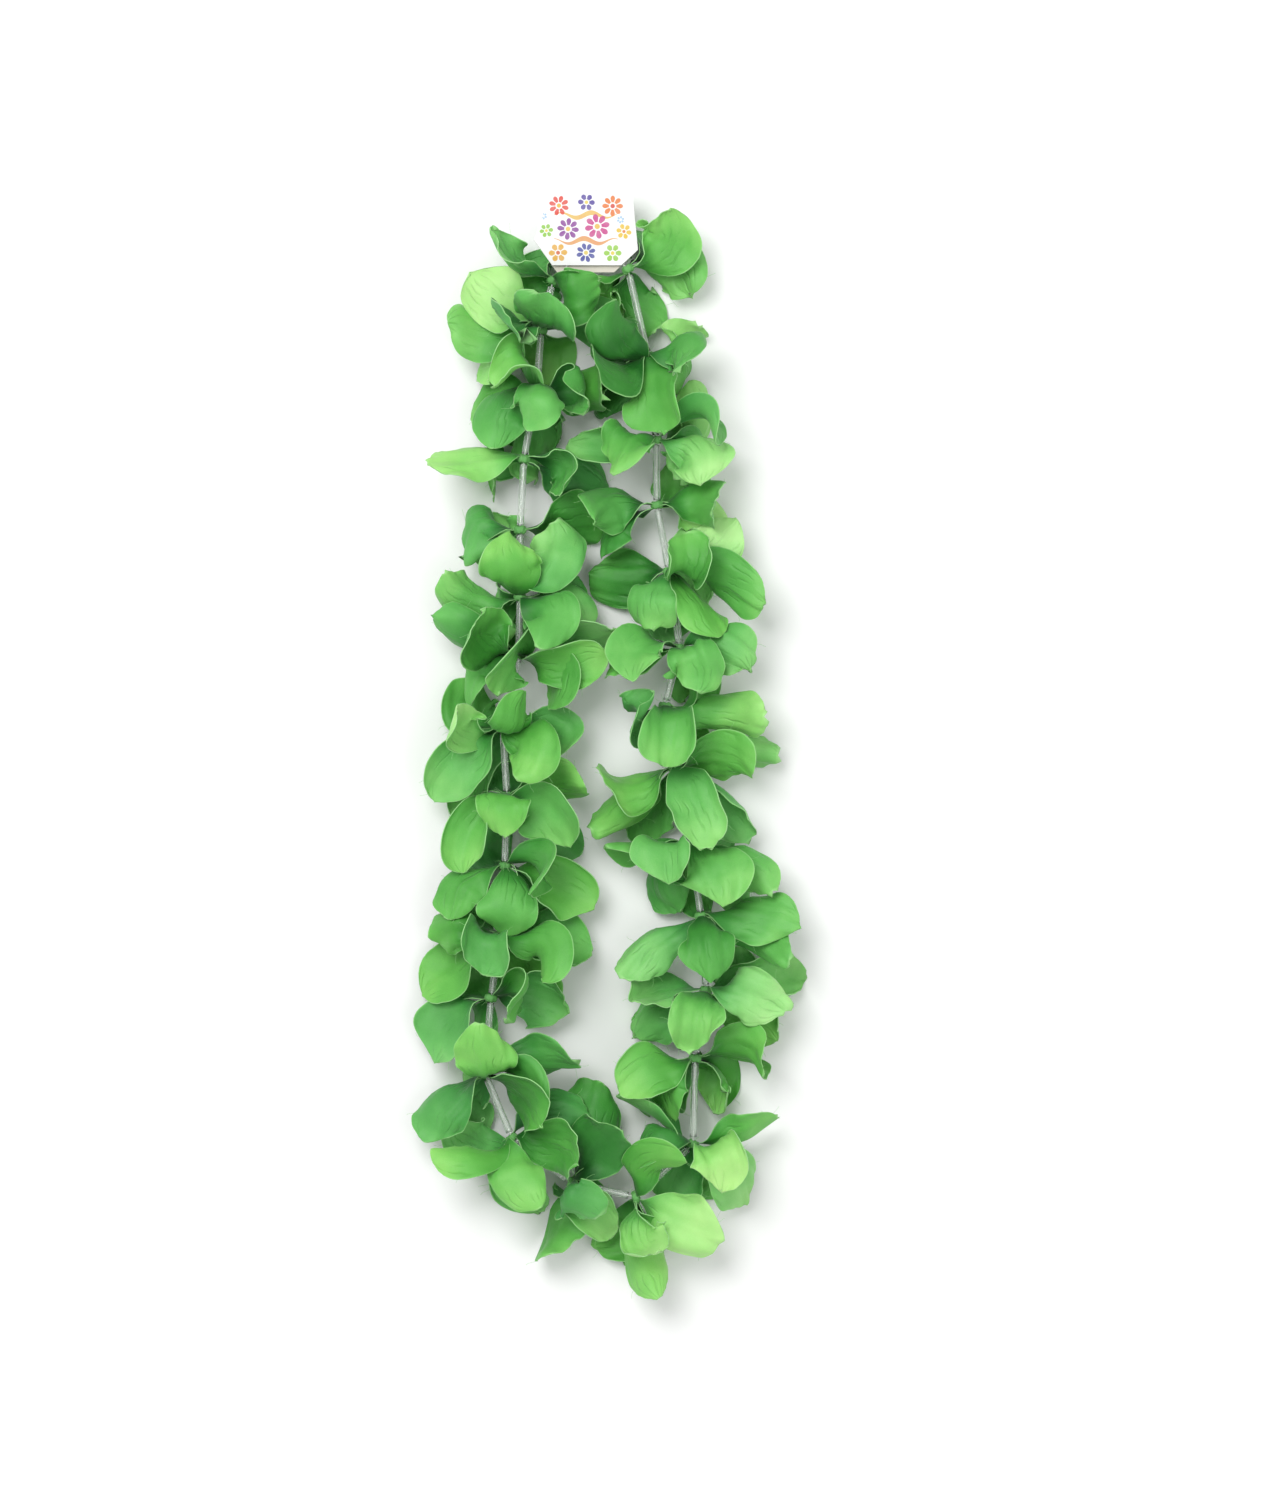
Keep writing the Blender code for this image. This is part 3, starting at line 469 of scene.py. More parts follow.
# How pale each petal looks that isn't of the common green, as judged: 1 for the yellow-green
# ones and -1 for the deep ones, by bloom and by the petal's place in its bloom.
PETAL_TONE = {
    (1, 1): -0.5, (1, 2): -0.1, (2, 0): 0.9, (2, 1): 0.1, (2, 2): 0.45, (2, 4): -0.5, (3, 4): -0.1,
    (3, 2): -0.4, (3, 3): -0.4, (4, 0): 0.7, (4, 1): -0.4, (4, 2): -0.5, (5, 0): -0.5, (5, 1): -0.2,
    (6, 3): -0.6, (6, 2): 0.3, (7, 1): -0.2, (8, 0): 0.7, (9, 3): -0.3, (10, 3): -0.4, (12, 3): -0.1,
    (13, 0): 0.3, (13, 3): -0.5, (13, 4): -0.6, (14, 1): 0.3, (14, 3): -0.6, (14, 4): -0.3, (15, 0): -0.6,
    (15, 1): -0.5, (15, 3): 0.4, (16, 0): 0.7, (16, 2): 0.5, (16, 4): 0.9, (17, 2): 0.7, (17, 3): 0.4,
    (17, 4): -0.5, (19, 3): 0.7, (19, 5): 0.3, (19, 0): 0.2, (21, 5): -0.4, (22, 5): -0.1, (23, 1): 0.3,
    (25, 5): 1.0, (25, 3): -0.4, (26, 1): -0.5, (26, 3): 0.7, (27, 4): 0.6, (27, 3): 0.5, (28, 0): -0.7,
    (28, 1): -0.1, (28, 2): -0.2, (28, 3): 0.5, (28, 4): -0.8, (28, 5): -0.7, (28, 6): -0.8, (29, 0): 0.3,
}
# The ramp of the petals' green, from deep to pale; its deep end is reached mostly in the painted shade
# towards the roots.
GREENS = (
    (0.0, (0.013, 0.105, 0.017)),
    (0.30, (0.048, 0.265, 0.043)),
    (0.55, (0.120, 0.430, 0.090)),
    (0.78, (0.250, 0.600, 0.160)),
    (1.0, (0.420, 0.740, 0.260)),
)
RUFFLED_BLOOMS = {2: 1.5, 3: 1.9, 27: 1.5, 28: 2.1, 15: 1.3, 24: 1.3}
RIM_WAVE = 0.0032
RUFFLE_DEPTH = 0.0080
CRUMPLE_DEPTH = 0.0020
FOLD_DEPTH = 0.0034
CREASE_DEPTH = 0.0044
ACROSS_STEPS = 12
ALONG_STEPS = 28
CLOTH_THICKNESS = 0.00042
CLOTH_WIDTH = 0.93
NUMBERS_A_BLOOM = 12
BUNCHED_SHARE = 0.25
EASING_ROUNDS = 14
EASING_STEP = 0.0006
EASED_OVER = (0.1, 0.6)
EASED_RUFFLE = 0.93
LEAST_RUFFLE = 0.45
TIP_TRIMS = ((0.05, 0.30), (0.0, 0.10))
RIM_NICK = 0.00012
NICK_SIZES = (0, 0, 0, 0, 0.5, 1)
NICK_LEAST_WIDTH = 0.003
NICK_NEARNESS = 6
LEAST_KEPT_WIDTH = 0.0001
TONE_SPREAD = (-0.3, 0.25)
HUE_SPREAD = (-1, 0.7)
CREASE_SPREAD = (0.5, 1.0)
TIP_RIM_SHARE = 1.2
MERGE_DISTANCE = 0.00001
LOOK_SEEDS_A_BLOOM = 40


def set_inputs(tree, node, values):
    """Sets a node's inputs by name or place: a socket is wired in, anything else is its plain value."""
    for name, value in values.items():
        socket = node.inputs[name]
        if isinstance(value, bpy.types.NodeSocket):
            tree.links.new(value, socket)
        else:
            socket.default_value = (*value, 1) if socket.type == "RGBA" else value


def add_node(tree, kind, inputs=None, **settings):
    """A node of a material, a group or a geometry tree, with its plain settings and its inputs."""
    found = tree.nodes.new(kind)
    for name, value in settings.items():
        setattr(found, name, value)
    set_inputs(tree, found, inputs or {})
    return found


def maths(tree, operation, *values, clamp=False):
    """The result of a maths node, whose inputs are sockets or numbers."""
    inputs = dict(enumerate(values))
    return add_node(tree, "ShaderNodeMath", inputs, operation=operation, use_clamp=clamp).outputs[0]


def times(tree, first, *more):
    """Values multiplied together, one after the other."""
    for value in more:
        first = maths(tree, "MULTIPLY", first, value)
    return first


def over(tree, high, low, sharpness):
    """A mask: 0 where the first value is under the second, and soon 1 where it is over it."""
    return maths(tree, "MULTIPLY", maths(tree, "SUBTRACT", high, low), sharpness, clamp=True)


def far_from(tree, across, along):
    """The distance from the middle of a plane."""
    return maths(tree, "SQRT", maths(tree, "ADD", times(tree, across, across), times(tree, along, along)))


def parts(tree, vector):
    """The X, Y and Z of a vector."""
    return add_node(tree, "ShaderNodeSeparateXYZ", {0: vector}).outputs


def joined(tree, x, y, z):
    """The vector of an X, a Y and a Z."""
    return add_node(tree, "ShaderNodeCombineXYZ", {0: x, 1: y, 2: z}).outputs[0]


def noise(tree, where, scale, detail=2, distortion=0):
    """A noise, from 0 to 1 about 0.5, at a place."""
    inputs = {"Vector": where, "Scale": scale, "Detail": detail, "Distortion": distortion}
    return add_node(tree, "ShaderNodeTexNoise", inputs).outputs["Fac"]


def mixed(tree, share, first, second):
    """The mix of two colours, each a socket or a plain colour."""
    return add_node(tree, "ShaderNodeMix", {0: share, 6: first, 7: second}, data_type="RGBA").outputs[2]


def bumped(tree, height, strength, distance):
    """The normal that a height gives a surface."""
    inputs = {"Height": height, "Strength": strength, "Distance": distance}
    return add_node(tree, "ShaderNodeBump", inputs).outputs[0]


def new_material(name, roughness):
    """A material, its tree, its Principled shader, and the spot of the surface that it shades."""
    found = bpy.data.materials.new(name)
    found.use_nodes = True
    tree = found.node_tree
    shader = tree.nodes["Principled BSDF"]
    shader.inputs["Roughness"].default_value = roughness
    return found, tree, shader, add_node(tree, "ShaderNodeTexCoord").outputs["Object"]


def new_group(name, kind, takes, gives):
    """A node group with its sockets by kind, its inputs to read from and its end to wire into."""
    tree = bpy.data.node_groups.new(name, kind)
    for way, sockets in (("INPUT", takes), ("OUTPUT", gives)):
        for socket_kind, words in sockets.items():
            for word in words:
                tree.interface.new_socket(word, in_out=way, socket_type="NodeSocket" + socket_kind)
    return tree, add_node(tree, "NodeGroupInput").outputs, add_node(tree, "NodeGroupOutput")


def cloth_grain_group():
    """Satin weave: fine threads both ways with soft crumples, as a height and a change of shade."""
    group, start, end = new_group("satin_grain", "ShaderNodeTree",
                                  {"Vector": ["Vector"], "Float": ["Threads", "Crumple"]},
                                  {"Float": ["Height", "Shade"]})
    crumple = noise(group, start["Vector"], 90, detail=3, distortion=0.6)
    fuzz = noise(group, start["Vector"], start["Threads"])
    soft = times(group, crumple, start["Crumple"])
    set_inputs(group, end, {
        "Height": maths(group, "MULTIPLY_ADD", fuzz, 0.25, soft),
        "Shade": maths(group, "MULTIPLY_ADD", fuzz, 0.4, times(group, soft, 0.8)),
    })
    return group


satin_grain = cloth_grain_group()


def place_grain(tree, spot, threads, crumple):
    """The height and the shade of the satin grain in a material, with its own values."""
    inputs = {"Vector": spot, "Threads": threads, "Crumple": crumple}
    return add_node(tree, "ShaderNodeGroup", inputs, node_tree=satin_grain).outputs


def petal_material():
    """Green satin cloth: deep to pale by the petal's tone, darker towards the root and along the
    heat-pressed veins as painted shade, and with a painted highlight on the cut rim.
    """
    found, tree, shader, spot = new_material("green_satin", 0.5)
    on_petal = add_node(tree, "ShaderNodeUVMap", uv_map="petal").outputs["UV"]
    along = parts(tree, on_petal)["Y"]
    tone, hue, rim = [add_node(tree, "ShaderNodeAttribute", attribute_name=word).outputs["Fac"]
                      for word in ("tone", "hue", "rim_mm")]
    grain = place_grain(tree, spot, 2600, 0.7)
    # Painted shade: besides its own tone, grain and mottle, the green runs darker towards each petal's root
    # and lighter towards its tip.
    painted_root_shade = maths(tree, "MULTIPLY", along, 3.2, clamp=True)
    tone_and_painted_shade = -0.43
    for value, share in ((noise(tree, spot, 28), 0.5), (along, 0.35), (grain["Shade"], 0.3), (tone, 0.42),
                         (painted_root_shade, 0.32)):
        tone_and_painted_shade = maths(tree, "MULTIPLY_ADD", value, share, tone_and_painted_shade)
    ramp = add_node(tree, "ShaderNodeValToRGB", {0: tone_and_painted_shade})
    points = ramp.color_ramp.elements
    while len(points) < len(GREENS):
        points.new(0.5)
    for point, (where, colour) in zip(points, GREENS):
        point.position = where
        point.color = (*colour, 1)
    veins = add_node(tree, "ShaderNodeTexWave", {"Vector": on_petal, "Scale": 2.2, "Distortion": 7.0,
                                                 "Detail": 2.0, "Detail Scale": 1.3},
                     bands_direction="X", wave_profile="SIN").outputs["Fac"]
    pressed = over(tree, noise(tree, spot, 75, detail=1), 0.53, 7.0)
    vein = times(tree, maths(tree, "POWER", veins, 7.0), pressed)
    # Painted highlight: the face is paled in a thin band along its cut rim and tip, where the edge catches
    # the light.
    edge = add_node(tree, "ShaderNodeMapRange", {"Value": rim, "From Min": 0.0, "From Max": 0.55,
                                                 "To Min": 1.0, "To Max": 0.0},
                    interpolation_type="SMOOTHSTEP").outputs[0]
    shifted = add_node(tree, "ShaderNodeHueSaturation", {
        "Hue": maths(tree, "MULTIPLY_ADD", hue, 0.009, 0.499),
        "Saturation": maths(tree, "MULTIPLY_ADD", hue, -0.07, 1.0),
        "Color": ramp.outputs[0],
    })
    # Painted shade: the green is darkened along the pressed veins, as shade in their grooves.
    colour = mixed(tree, times(tree, vein, 0.12), shifted.outputs[0], (0.05, 0.24, 0.04))
    set_inputs(tree, shader, {
        "Base Color": mixed(tree, times(tree, edge, 0.55), colour, (0.36, 0.68, 0.27)),
        "Normal": bumped(tree, maths(tree, "MULTIPLY_ADD", vein, -1.3, grain["Height"]), 0.5, 0.0006),
        "Roughness": maths(tree, "MULTIPLY_ADD", grain["Shade"], 0.16, 0.42),
        "Specular IOR Level": 0.28,
        "Sheen Weight": 0.08,
        "Sheen Roughness": 0.4,
        "Subsurface Weight": 0.12,
        "Subsurface Radius": (0.5, 1.0, 0.35),
        "Subsurface Scale": 0.0010,
    })
    return found


def plain_cloth(name, roughness, threads, crumple, deep, pale, relief=()):
    """Green cloth of one tone, deep to pale by its grain, which may stand in relief."""
    found, tree, shader, spot = new_material(name, roughness)
    grain = place_grain(tree, spot, threads, crumple)
    set_inputs(tree, shader, {"Base Color": mixed(tree, grain["Shade"], deep, pale)})
    if relief:
        set_inputs(tree, shader, {"Normal": bumped(tree, grain["Height"], *relief)})
    return found


green_satin = petal_material()

# The heat-cut rim of the cloth is a little melted; it is painted paler than the faces, a painted highlight
# where the cut edge catches the light.
green_cut_edge_highlight = plain_cloth("green_cut_edge_highlight", 0.6, 3200, 0.4, (0.20, 0.52, 0.15), (0.46, 0.76, 0.37),
                             relief=(0.3, 0.0003))


def named(tree, word, kind="FLOAT"):
    """Geometry Nodes: what the mesh holds under a name."""
    inputs = {"Name": word}
    return add_node(tree, "GeometryNodeInputNamedAttribute", inputs, data_type=kind).outputs["Attribute"]


def above_table(tree, geometry, lowest):
    """Geometry Nodes: lifts whatever would sink into the table up to its lowest height."""
    x, y, z = parts(tree, add_node(tree, "GeometryNodeInputPosition").outputs[0])
    inputs = {"Geometry": geometry, "Position": joined(tree, x, y, maths(tree, "MAXIMUM", z, lowest))}
    return add_node(tree, "GeometryNodeSetPosition", inputs).outputs[0]


def moved(tree, geometry, way, amount):
    """Geometry Nodes: moves every point along a way by an amount."""
    offset = add_node(tree, "ShaderNodeVectorMath", {0: way, "Scale": amount}, operation="SCALE").outputs[0]
    return add_node(tree, "GeometryNodeSetPosition", {"Geometry": geometry, "Offset": offset}).outputs[0]


def geometry_tree(name, **takes):
    """A geometry tree with its inputs by kind, its inputs to read from and its end to wire into."""
    geometry = {"Geometry": ["Geometry"]}
    return new_group(name, "GeometryNodeTree", {**geometry, **takes}, geometry)


def made_real(tree, end, geometry, material):
    """Geometry Nodes: ends a tree, with its instances real and its material on."""
    real = add_node(tree, "GeometryNodeRealizeInstances", {0: geometry}).outputs[0]
    dressed = add_node(tree, "GeometryNodeSetMaterial", {"Geometry": real, "Material": material})
    set_inputs(tree, end, {0: dressed.outputs[0]})
    return tree


def cloth_tree():
    """Geometry Nodes: the waved rim, the crumple and the pressed folds of the petals of one bloom."""
    tree, start, end = geometry_tree("petal_cloth", Material=["Cloth"], Float=[
        "Wave", "Turns", "Ruffle", "Crumple", "Fold", "Crease", "Lowest"])
    wide, along, number, crease, stir = [named(tree, word)
                                         for word in ("wide", "along", "number", "crease", "stir")]
    apart = times(tree, number, 7.31)

    def wander(wide_scale, along_scale, detail, shift):
        """Noise over the petal, its own on each petal, from about -0.5 to 0.5."""
        where = joined(tree, times(tree, wide, wide_scale),
                       times(tree, along, along_scale), maths(tree, "ADD", apart, shift))
        return maths(tree, "SUBTRACT", noise(tree, where, 1.0, detail), 0.5)

    forward = maths(tree, "MULTIPLY_ADD", along, 1.9, -0.95)
    rim = maths(tree, "POWER", maths(tree, "MINIMUM", far_from(tree, forward, wide), 1.0), 3.0)
    around = times(tree, maths(tree, "ARCTAN2", wide, forward), start["Turns"])
    turned = maths(tree, "MULTIPLY_ADD", wander(0.6, 0.6, 0.0, 3.7), 3.5, around)
    wave = maths(tree, "SINE", maths(tree, "MULTIPLY_ADD", apart, 2.3, turned))
    wave = times(tree, wave, rim, start["Wave"])
    ruffle = times(tree, wander(1.7, 3.0, 0.0, 0.0), rim, start["Ruffle"])
    crumple = times(tree, wander(2.4, 3.6, 1.0, 11.0), start["Crumple"])
    fold = times(tree, wander(5.0, 0.7, 0.0, 23.0), start["Fold"])
    ridge = maths(tree, "SUBTRACT", 0.3, maths(tree, "ABSOLUTE", wide))
    ridge = times(tree, ridge, crease, start["Crease"])
    out = maths(tree, "ADD", maths(tree, "ADD", wave, ruffle), maths(tree, "ADD", crumple, fold))
    out = maths(tree, "ADD", out, ridge)
    grown = maths(tree, "MULTIPLY", maths(tree, "MULTIPLY", along, 3.0, clamp=True), stir)
    normal = add_node(tree, "GeometryNodeInputNormal").outputs[0]
    stirred = moved(tree, start["Geometry"], normal, times(tree, out, grown))
    return made_real(tree, end, above_table(tree, stirred, start["Lowest"]), start["Cloth"])


def with_tree(piece, tree, values):
    """Puts a geometry tree on a piece, with its inputs set by their sockets' identifiers."""
    change = piece.modifiers.new(tree.name, "NODES")
    change.node_group = tree
    for socket in tree.interface.items_tree:
        if socket.item_type == "SOCKET" and socket.in_out == "INPUT" and socket.name in values:
            change[socket.identifier] = values[socket.name]


def settled(piece):
    """Works a piece's modifiers into a plain mesh."""
    bpy.context.view_layer.update()
    graph = bpy.context.evaluated_depsgraph_get()
    found = bpy.data.meshes.new_from_object(piece.evaluated_get(graph), preserve_all_data_layers=True,
                                            depsgraph=graph)
    piece.modifiers.clear()
    piece.data = found


def thickened(piece, thickness, side, rim_slot=0):
    """Gives a sheet its thickness: side 0 is half to each side of it, and -1 is all inward."""
    wall = piece.modifiers.new("thickness", "SOLIDIFY")
    wall.thickness = thickness
    wall.offset = side
    wall.material_offset_rim = rim_slot
    settled(piece)


def mesh_of(name, shape):
    """A mesh from a finished bmesh."""
    mesh = bpy.data.meshes.new(name)
    shape.to_mesh(mesh)
    shape.free()
    return mesh


petal_cloth = cloth_tree()


def petal_sheets(petals, bloom_number):
    """The open sheets of a bloom's petals in one mesh, with each point's place on its petal."""
    shape = bmesh.new()
    uv = shape.loops.layers.uv.new("petal")
    layers = {word: shape.verts.layers.float.new(word)
              for word in ("wide", "along", "number", "rim_mm", "tone", "hue", "crease", "stir")}
    spread = [math.sin(math.pi / 2 * k / ACROSS_STEPS) for k in range(-ACROSS_STEPS, ACROSS_STEPS + 1)]
    reach = [math.sin(math.pi / 2 * k / ALONG_STEPS) for k in range(ALONG_STEPS + 1)]
    for petal in petals:
        dice = random.Random(bloom_number * LOOK_SEEDS_A_BLOOM + petal.number)
        tone = PETAL_TONE.get((bloom_number, petal.number), dice.uniform(*TONE_SPREAD))
        hue = dice.uniform(*HUE_SPREAD)
        crease = dice.choice((-1, 0, 0, 1)) * dice.uniform(*CREASE_SPREAD)
        trims = dice.sample([dice.uniform(*span) for span in TIP_TRIMS], 2)
        number = bloom_number * NUMBERS_A_BLOOM + petal.number
        rows = []
        for s in reach:
            row = []
            half = petal.half_width_at(s) * CLOTH_WIDTH
            nicks = [dice.choice(NICK_SIZES) * RIM_NICK / max(half, NICK_LEAST_WIDTH) for _ in range(2)]
            for u in spread:
                nick = nicks[u > 0] * abs(u) ** NICK_NEARNESS
                cut = s * (1 - trims[u > 0] * abs(u) * half / petal.half_width * s * s)
                whole = petal.half_width_at(s)
                kept = whole / max(petal.half_width_at(cut), whole, LEAST_KEPT_WIDTH)
                vert = shape.verts.new(petal.point(u * CLOTH_WIDTH * (1 - nick) * kept, cut))
                away = min((1 - abs(u)) * half, (1 - s) * petal.chord.length * TIP_RIM_SHARE)
                values = {"wide": u * half / petal.half_width, "along": s, "number": number, "tone": tone,
                          "hue": hue, "crease": crease, "rim_mm": away * 1000, "stir": 1.0}
                for word, value in values.items():
                    vert[layers[word]] = value
                row.append(vert)
            rows.append(row)
        for j, i in itertools.product(range(ALONG_STEPS), range(2 * ACROSS_STEPS)):
            spots = ((i, j), (i + 1, j), (i + 1, j + 1), (i, j + 1))
            face = shape.faces.new([rows[b][a] for a, b in spots])
            face.smooth = True
            for loop, (a, b) in zip(face.loops, spots):
                loop[uv].uv = ((spread[a] + 1) / 2, reach[b])
    bmesh.ops.remove_doubles(shape, verts=shape.verts, dist=MERGE_DISTANCE)
    return mesh_of("satin_bloom", shape)


def shown(name, mesh):
    """A piece of the scene."""
    found = bpy.data.objects.new(name, mesh)
    bpy.context.scene.collection.objects.link(found)
    return found


Cloth = namedtuple("Cloth", "tree spots normals middle")


def cloth_of(bloom):
    """The petals of a bloom as they lie, each by its number, without their bunched roots."""
    lying = bloom.evaluated_get(bpy.context.evaluated_depsgraph_get())
    mesh = lying.to_mesh()
    numbers = [item.value for item in mesh.attributes["number"].data]
    along = [item.value for item in mesh.attributes["along"].data]
    corners = [vert.co.copy() for vert in mesh.vertices]
    faces = {}
    for face in mesh.polygons:
        if min(along[k] for k in face.vertices) > BUNCHED_SHARE:
            faces.setdefault(round(numbers[face.vertices[0]]), []).append(
                (tuple(face.vertices), face.center.copy(), face.normal.copy()))
    lying.to_mesh_clear()
    found = {}
    for number, kept in faces.items():
        shapes, spots, normals = zip(*kept)
        middle = sum(spots, Vector()) / len(spots)
        found[number] = Cloth(solid((corners, shapes)), spots, normals, middle)
    return found


def hard_pieces():
    """The tubes, the thread in the card and the card, as shapes that the cloth lies clear of."""
    found = []
    for corners, faces in fixed_shells():
        spots = [sum((corners[k] for k in face), Vector()) / len(face) for face in faces]
        middle = sum(spots, Vector()) / len(spots)
        found.append(Cloth(solid((corners, faces)), spots, None, middle))
    return found


def moves_apart(cloth, hard):
    """For each petal whose cloth passes through another's or a hard piece, the move to its own side.
    A hard piece has the last word."""
    eased = {}
    for i, j in itertools.combinations_with_replacement(range(len(cloth)), 2):
        if (SEATS[i] - SEATS[j]).length > NEIGHBOUR_REACH:
            continue
        for (a, first), (b, second) in itertools.product(cloth[i].items(), cloth[j].items()):
            crossed = first.tree.overlap(second.tree) if a < b else ()
            if not crossed:
                continue
            for number, own, other, met in ((a, first, second, {pair[1] for pair in crossed}),
                                            (b, second, first, {pair[0] for pair in crossed})):
                normal = sum((other.normals[k] for k in met), Vector())
                spot = sum((other.spots[k] for k in met), Vector()) / len(met)
                way = math.copysign(1, (own.middle - spot).dot(normal))
                eased.setdefault(number, []).append(normal.normalized() * way)
    pushed = {}
    for number, own in (pair for petals in cloth for pair in petals.items()):
        for piece in hard:
            if (own.middle - piece.middle).length > NEIGHBOUR_REACH / 2:
                continue
            met = {pair[0] for pair in own.tree.overlap(piece.tree)}
            if met:
                normal = sum((own.normals[k] for k in met), Vector()).normalized()
                way = math.copysign(1, (own.middle - piece.middle).dot(normal))
                pushed.setdefault(number, []).append(normal * way)
    return {number: sum(found, Vector()) / len(found) * EASING_STEP
            for number, found in {**eased, **pushed}.items()}


def ease(bloom, moves):
    """Bends the crossed petals of a bloom back a little and lets their ruffles down."""
    points = bloom.data.attributes
    for vert, number, along, stir in zip(bloom.data.vertices, points["number"].data, points["along"].data,
                                         points["stir"].data):
        move = moves.get(round(number.value))
        if move is not None and stir.value > LEAST_RUFFLE:
            vert.co += move * blend(*EASED_OVER, along.value)
            stir.value *= EASED_RUFFLE
    bloom.data.update()
    bloom.update_tag()


blooms = []
for number, petals in enumerate(GARLAND, 1):
    bloom = shown(f"satin_bloom_{number:02d}", petal_sheets(petals, number))
    more = RUFFLED_BLOOMS.get(number, 1.0)
    with_tree(bloom, petal_cloth, {
        "Wave": RIM_WAVE * more, "Turns": 1.0 + more, "Ruffle": RUFFLE_DEPTH * more,
        "Crumple": CRUMPLE_DEPTH, "Fold": FOLD_DEPTH, "Crease": CREASE_DEPTH,
        "Lowest": CLOTH_THICKNESS, "Cloth": green_satin})
    blooms.append(bloom)

hard = hard_pieces()
for _ in range(EASING_ROUNDS):
    bpy.context.view_layer.update()
    moves = moves_apart([cloth_of(bloom) for bloom in blooms], hard)
    for bloom in blooms:
        ease(bloom, moves)

for number, bloom in enumerate(blooms, 1):
    settled(bloom)
    bloom.data.materials.append(green_cut_edge_highlight)
    thickened(bloom, CLOTH_THICKNESS, side=0, rim_slot=1)
    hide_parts(f"bloom_{number:02d}")
    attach(bloom, "root")


# The middles of the blooms. Where the two rounds are pressed together, their cloth is heaped into a
# small tight collar round the thread, which stops the tubes on both sides.

COLLAR_FOLDS = 7
COLLAR_FOLD_DEPTH = 0.16
COLLAR_RADIUS = 0.0020
COLLAR_HALF_WIDTH = 0.0011
COLLAR_HALF_HEIGHT = HUB_HALF_HEIGHT * 0.98
COLLAR_WAVES = 5
COLLAR_WAVE = 0.00018
COLLAR_STEPS = 42
COLLAR_RINGS = 9
COLLAR_SEED = 500


def collar_mesh():
    """All the collars in one mesh: turned rings whose outer side is drawn into small folds."""
    shape = bmesh.new()
    for index, centre in enumerate(SEATS):
        axis = axis_at(index)
        first = axis.orthogonal().normalized()
        second = axis.cross(first)
        turn = random.Random(COLLAR_SEED + index).uniform(0, 2 * math.pi)
        loops = []
        for ring in range(COLLAR_RINGS):
            swing = 2 * math.pi * ring / COLLAR_RINGS
            line = []
            for k in range(COLLAR_STEPS):
                angle = 2 * math.pi * k / COLLAR_STEPS
                outer = 0.5 + 0.5 * math.cos(swing)
                fold = 1 + COLLAR_FOLD_DEPTH * math.sin(COLLAR_FOLDS * angle + turn) * outer
                radius = COLLAR_RADIUS + COLLAR_HALF_WIDTH * math.cos(swing) * fold
                height = COLLAR_HALF_HEIGHT * math.sin(swing)
                height += COLLAR_WAVE * math.sin(COLLAR_WAVES * angle + turn * 2)
                spoke = first * math.cos(angle) + second * math.sin(angle)
                line.append(shape.verts.new(centre + axis * height + spoke * radius))
            loops.append(line)
        for line, ahead in zip(loops, loops[1:] + loops[:1]):
            for k in range(COLLAR_STEPS):
                n = (k + 1) % COLLAR_STEPS
                shape.faces.new((line[k], line[n], ahead[n], ahead[k])).smooth = True
    bmesh.ops.recalc_face_normals(shape, faces=shape.faces)
    return mesh_of("pressed_collars", shape)


# The same green cloth where it is bunched: matt, and painted a deeper green as shade among its folds.
green_collar_cloth_shaded = plain_cloth("green_collar_cloth_shaded", 0.7, 2400, 0.9, (0.035, 0.19, 0.035),
                                 (0.16, 0.46, 0.12), relief=(0.6, 0.0005))
collars = shown("pressed_collars", collar_mesh())
collars.data.materials.append(green_collar_cloth_shaded)
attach(collars, "root")


# The tubes. Short lengths of soft clear plastic tube keep the blooms apart on the thread. They are
# drawn as pipe and cut square with a blade, and each one just slides on the thread.

TUBE_SIDES = 28
TUBE_STEPS = 14


def mesh_from(name, points, edges=(), faces=()):
    """A mesh from its plain points, edges and faces."""
    mesh = bpy.data.meshes.new(name)
    mesh.from_pydata(points, edges, faces)
    return mesh


def as_curve(tree, geometry):
    """Geometry Nodes: the edges of a mesh as curves."""
    return add_node(tree, "GeometryNodeMeshToCurve", {0: geometry}).outputs[0]


def piped(tree, curve, radius, sides, capped=False):
    """Geometry Nodes: a round pipe along a curve."""
    ring = add_node(tree, "GeometryNodeCurvePrimitiveCircle", {"Radius": radius, "Resolution": sides})
    inputs = {"Curve": curve, "Profile Curve": ring.outputs[0], "Fill Caps": capped}
    return add_node(tree, "GeometryNodeCurveToMesh", inputs).outputs[0]


def smoothed(tree, geometry):
    """Geometry Nodes: smooth shading."""
    return add_node(tree, "GeometryNodeSetShadeSmooth", {"Geometry": geometry}).outputs[0]


def pipe_tree():
    """Geometry Nodes: a round pipe along each edge of the mesh."""
    tree, start, end = geometry_tree("clear_pipe", Float=["Radius"], Int=["Sides"], Material=["Plastic"])
    fine = add_node(tree, "GeometryNodeResampleCurve", {"Curve": as_curve(tree, start["Geometry"]),
                                                        "Count": TUBE_STEPS})
    pipe = piped(tree, fine.outputs[0], start["Radius"], start["Sides"])
    return made_real(tree, end, smoothed(tree, pipe), start["Plastic"])


def tube_material():
    """Soft clear plastic, a little hazy."""
    found, tree, shader, spot = new_material("clear_soft_plastic", 0.05)
    haze = noise(tree, spot, 240)
    set_inputs(tree, shader, {
        "Base Color": mixed(tree, haze, (0.94, 0.98, 0.95), (0.98, 1.0, 0.98)),
        "Roughness": times(tree, haze, 0.06),
        "Transmission Weight": 0.88,
        "IOR": 1.22,
    })
    return found


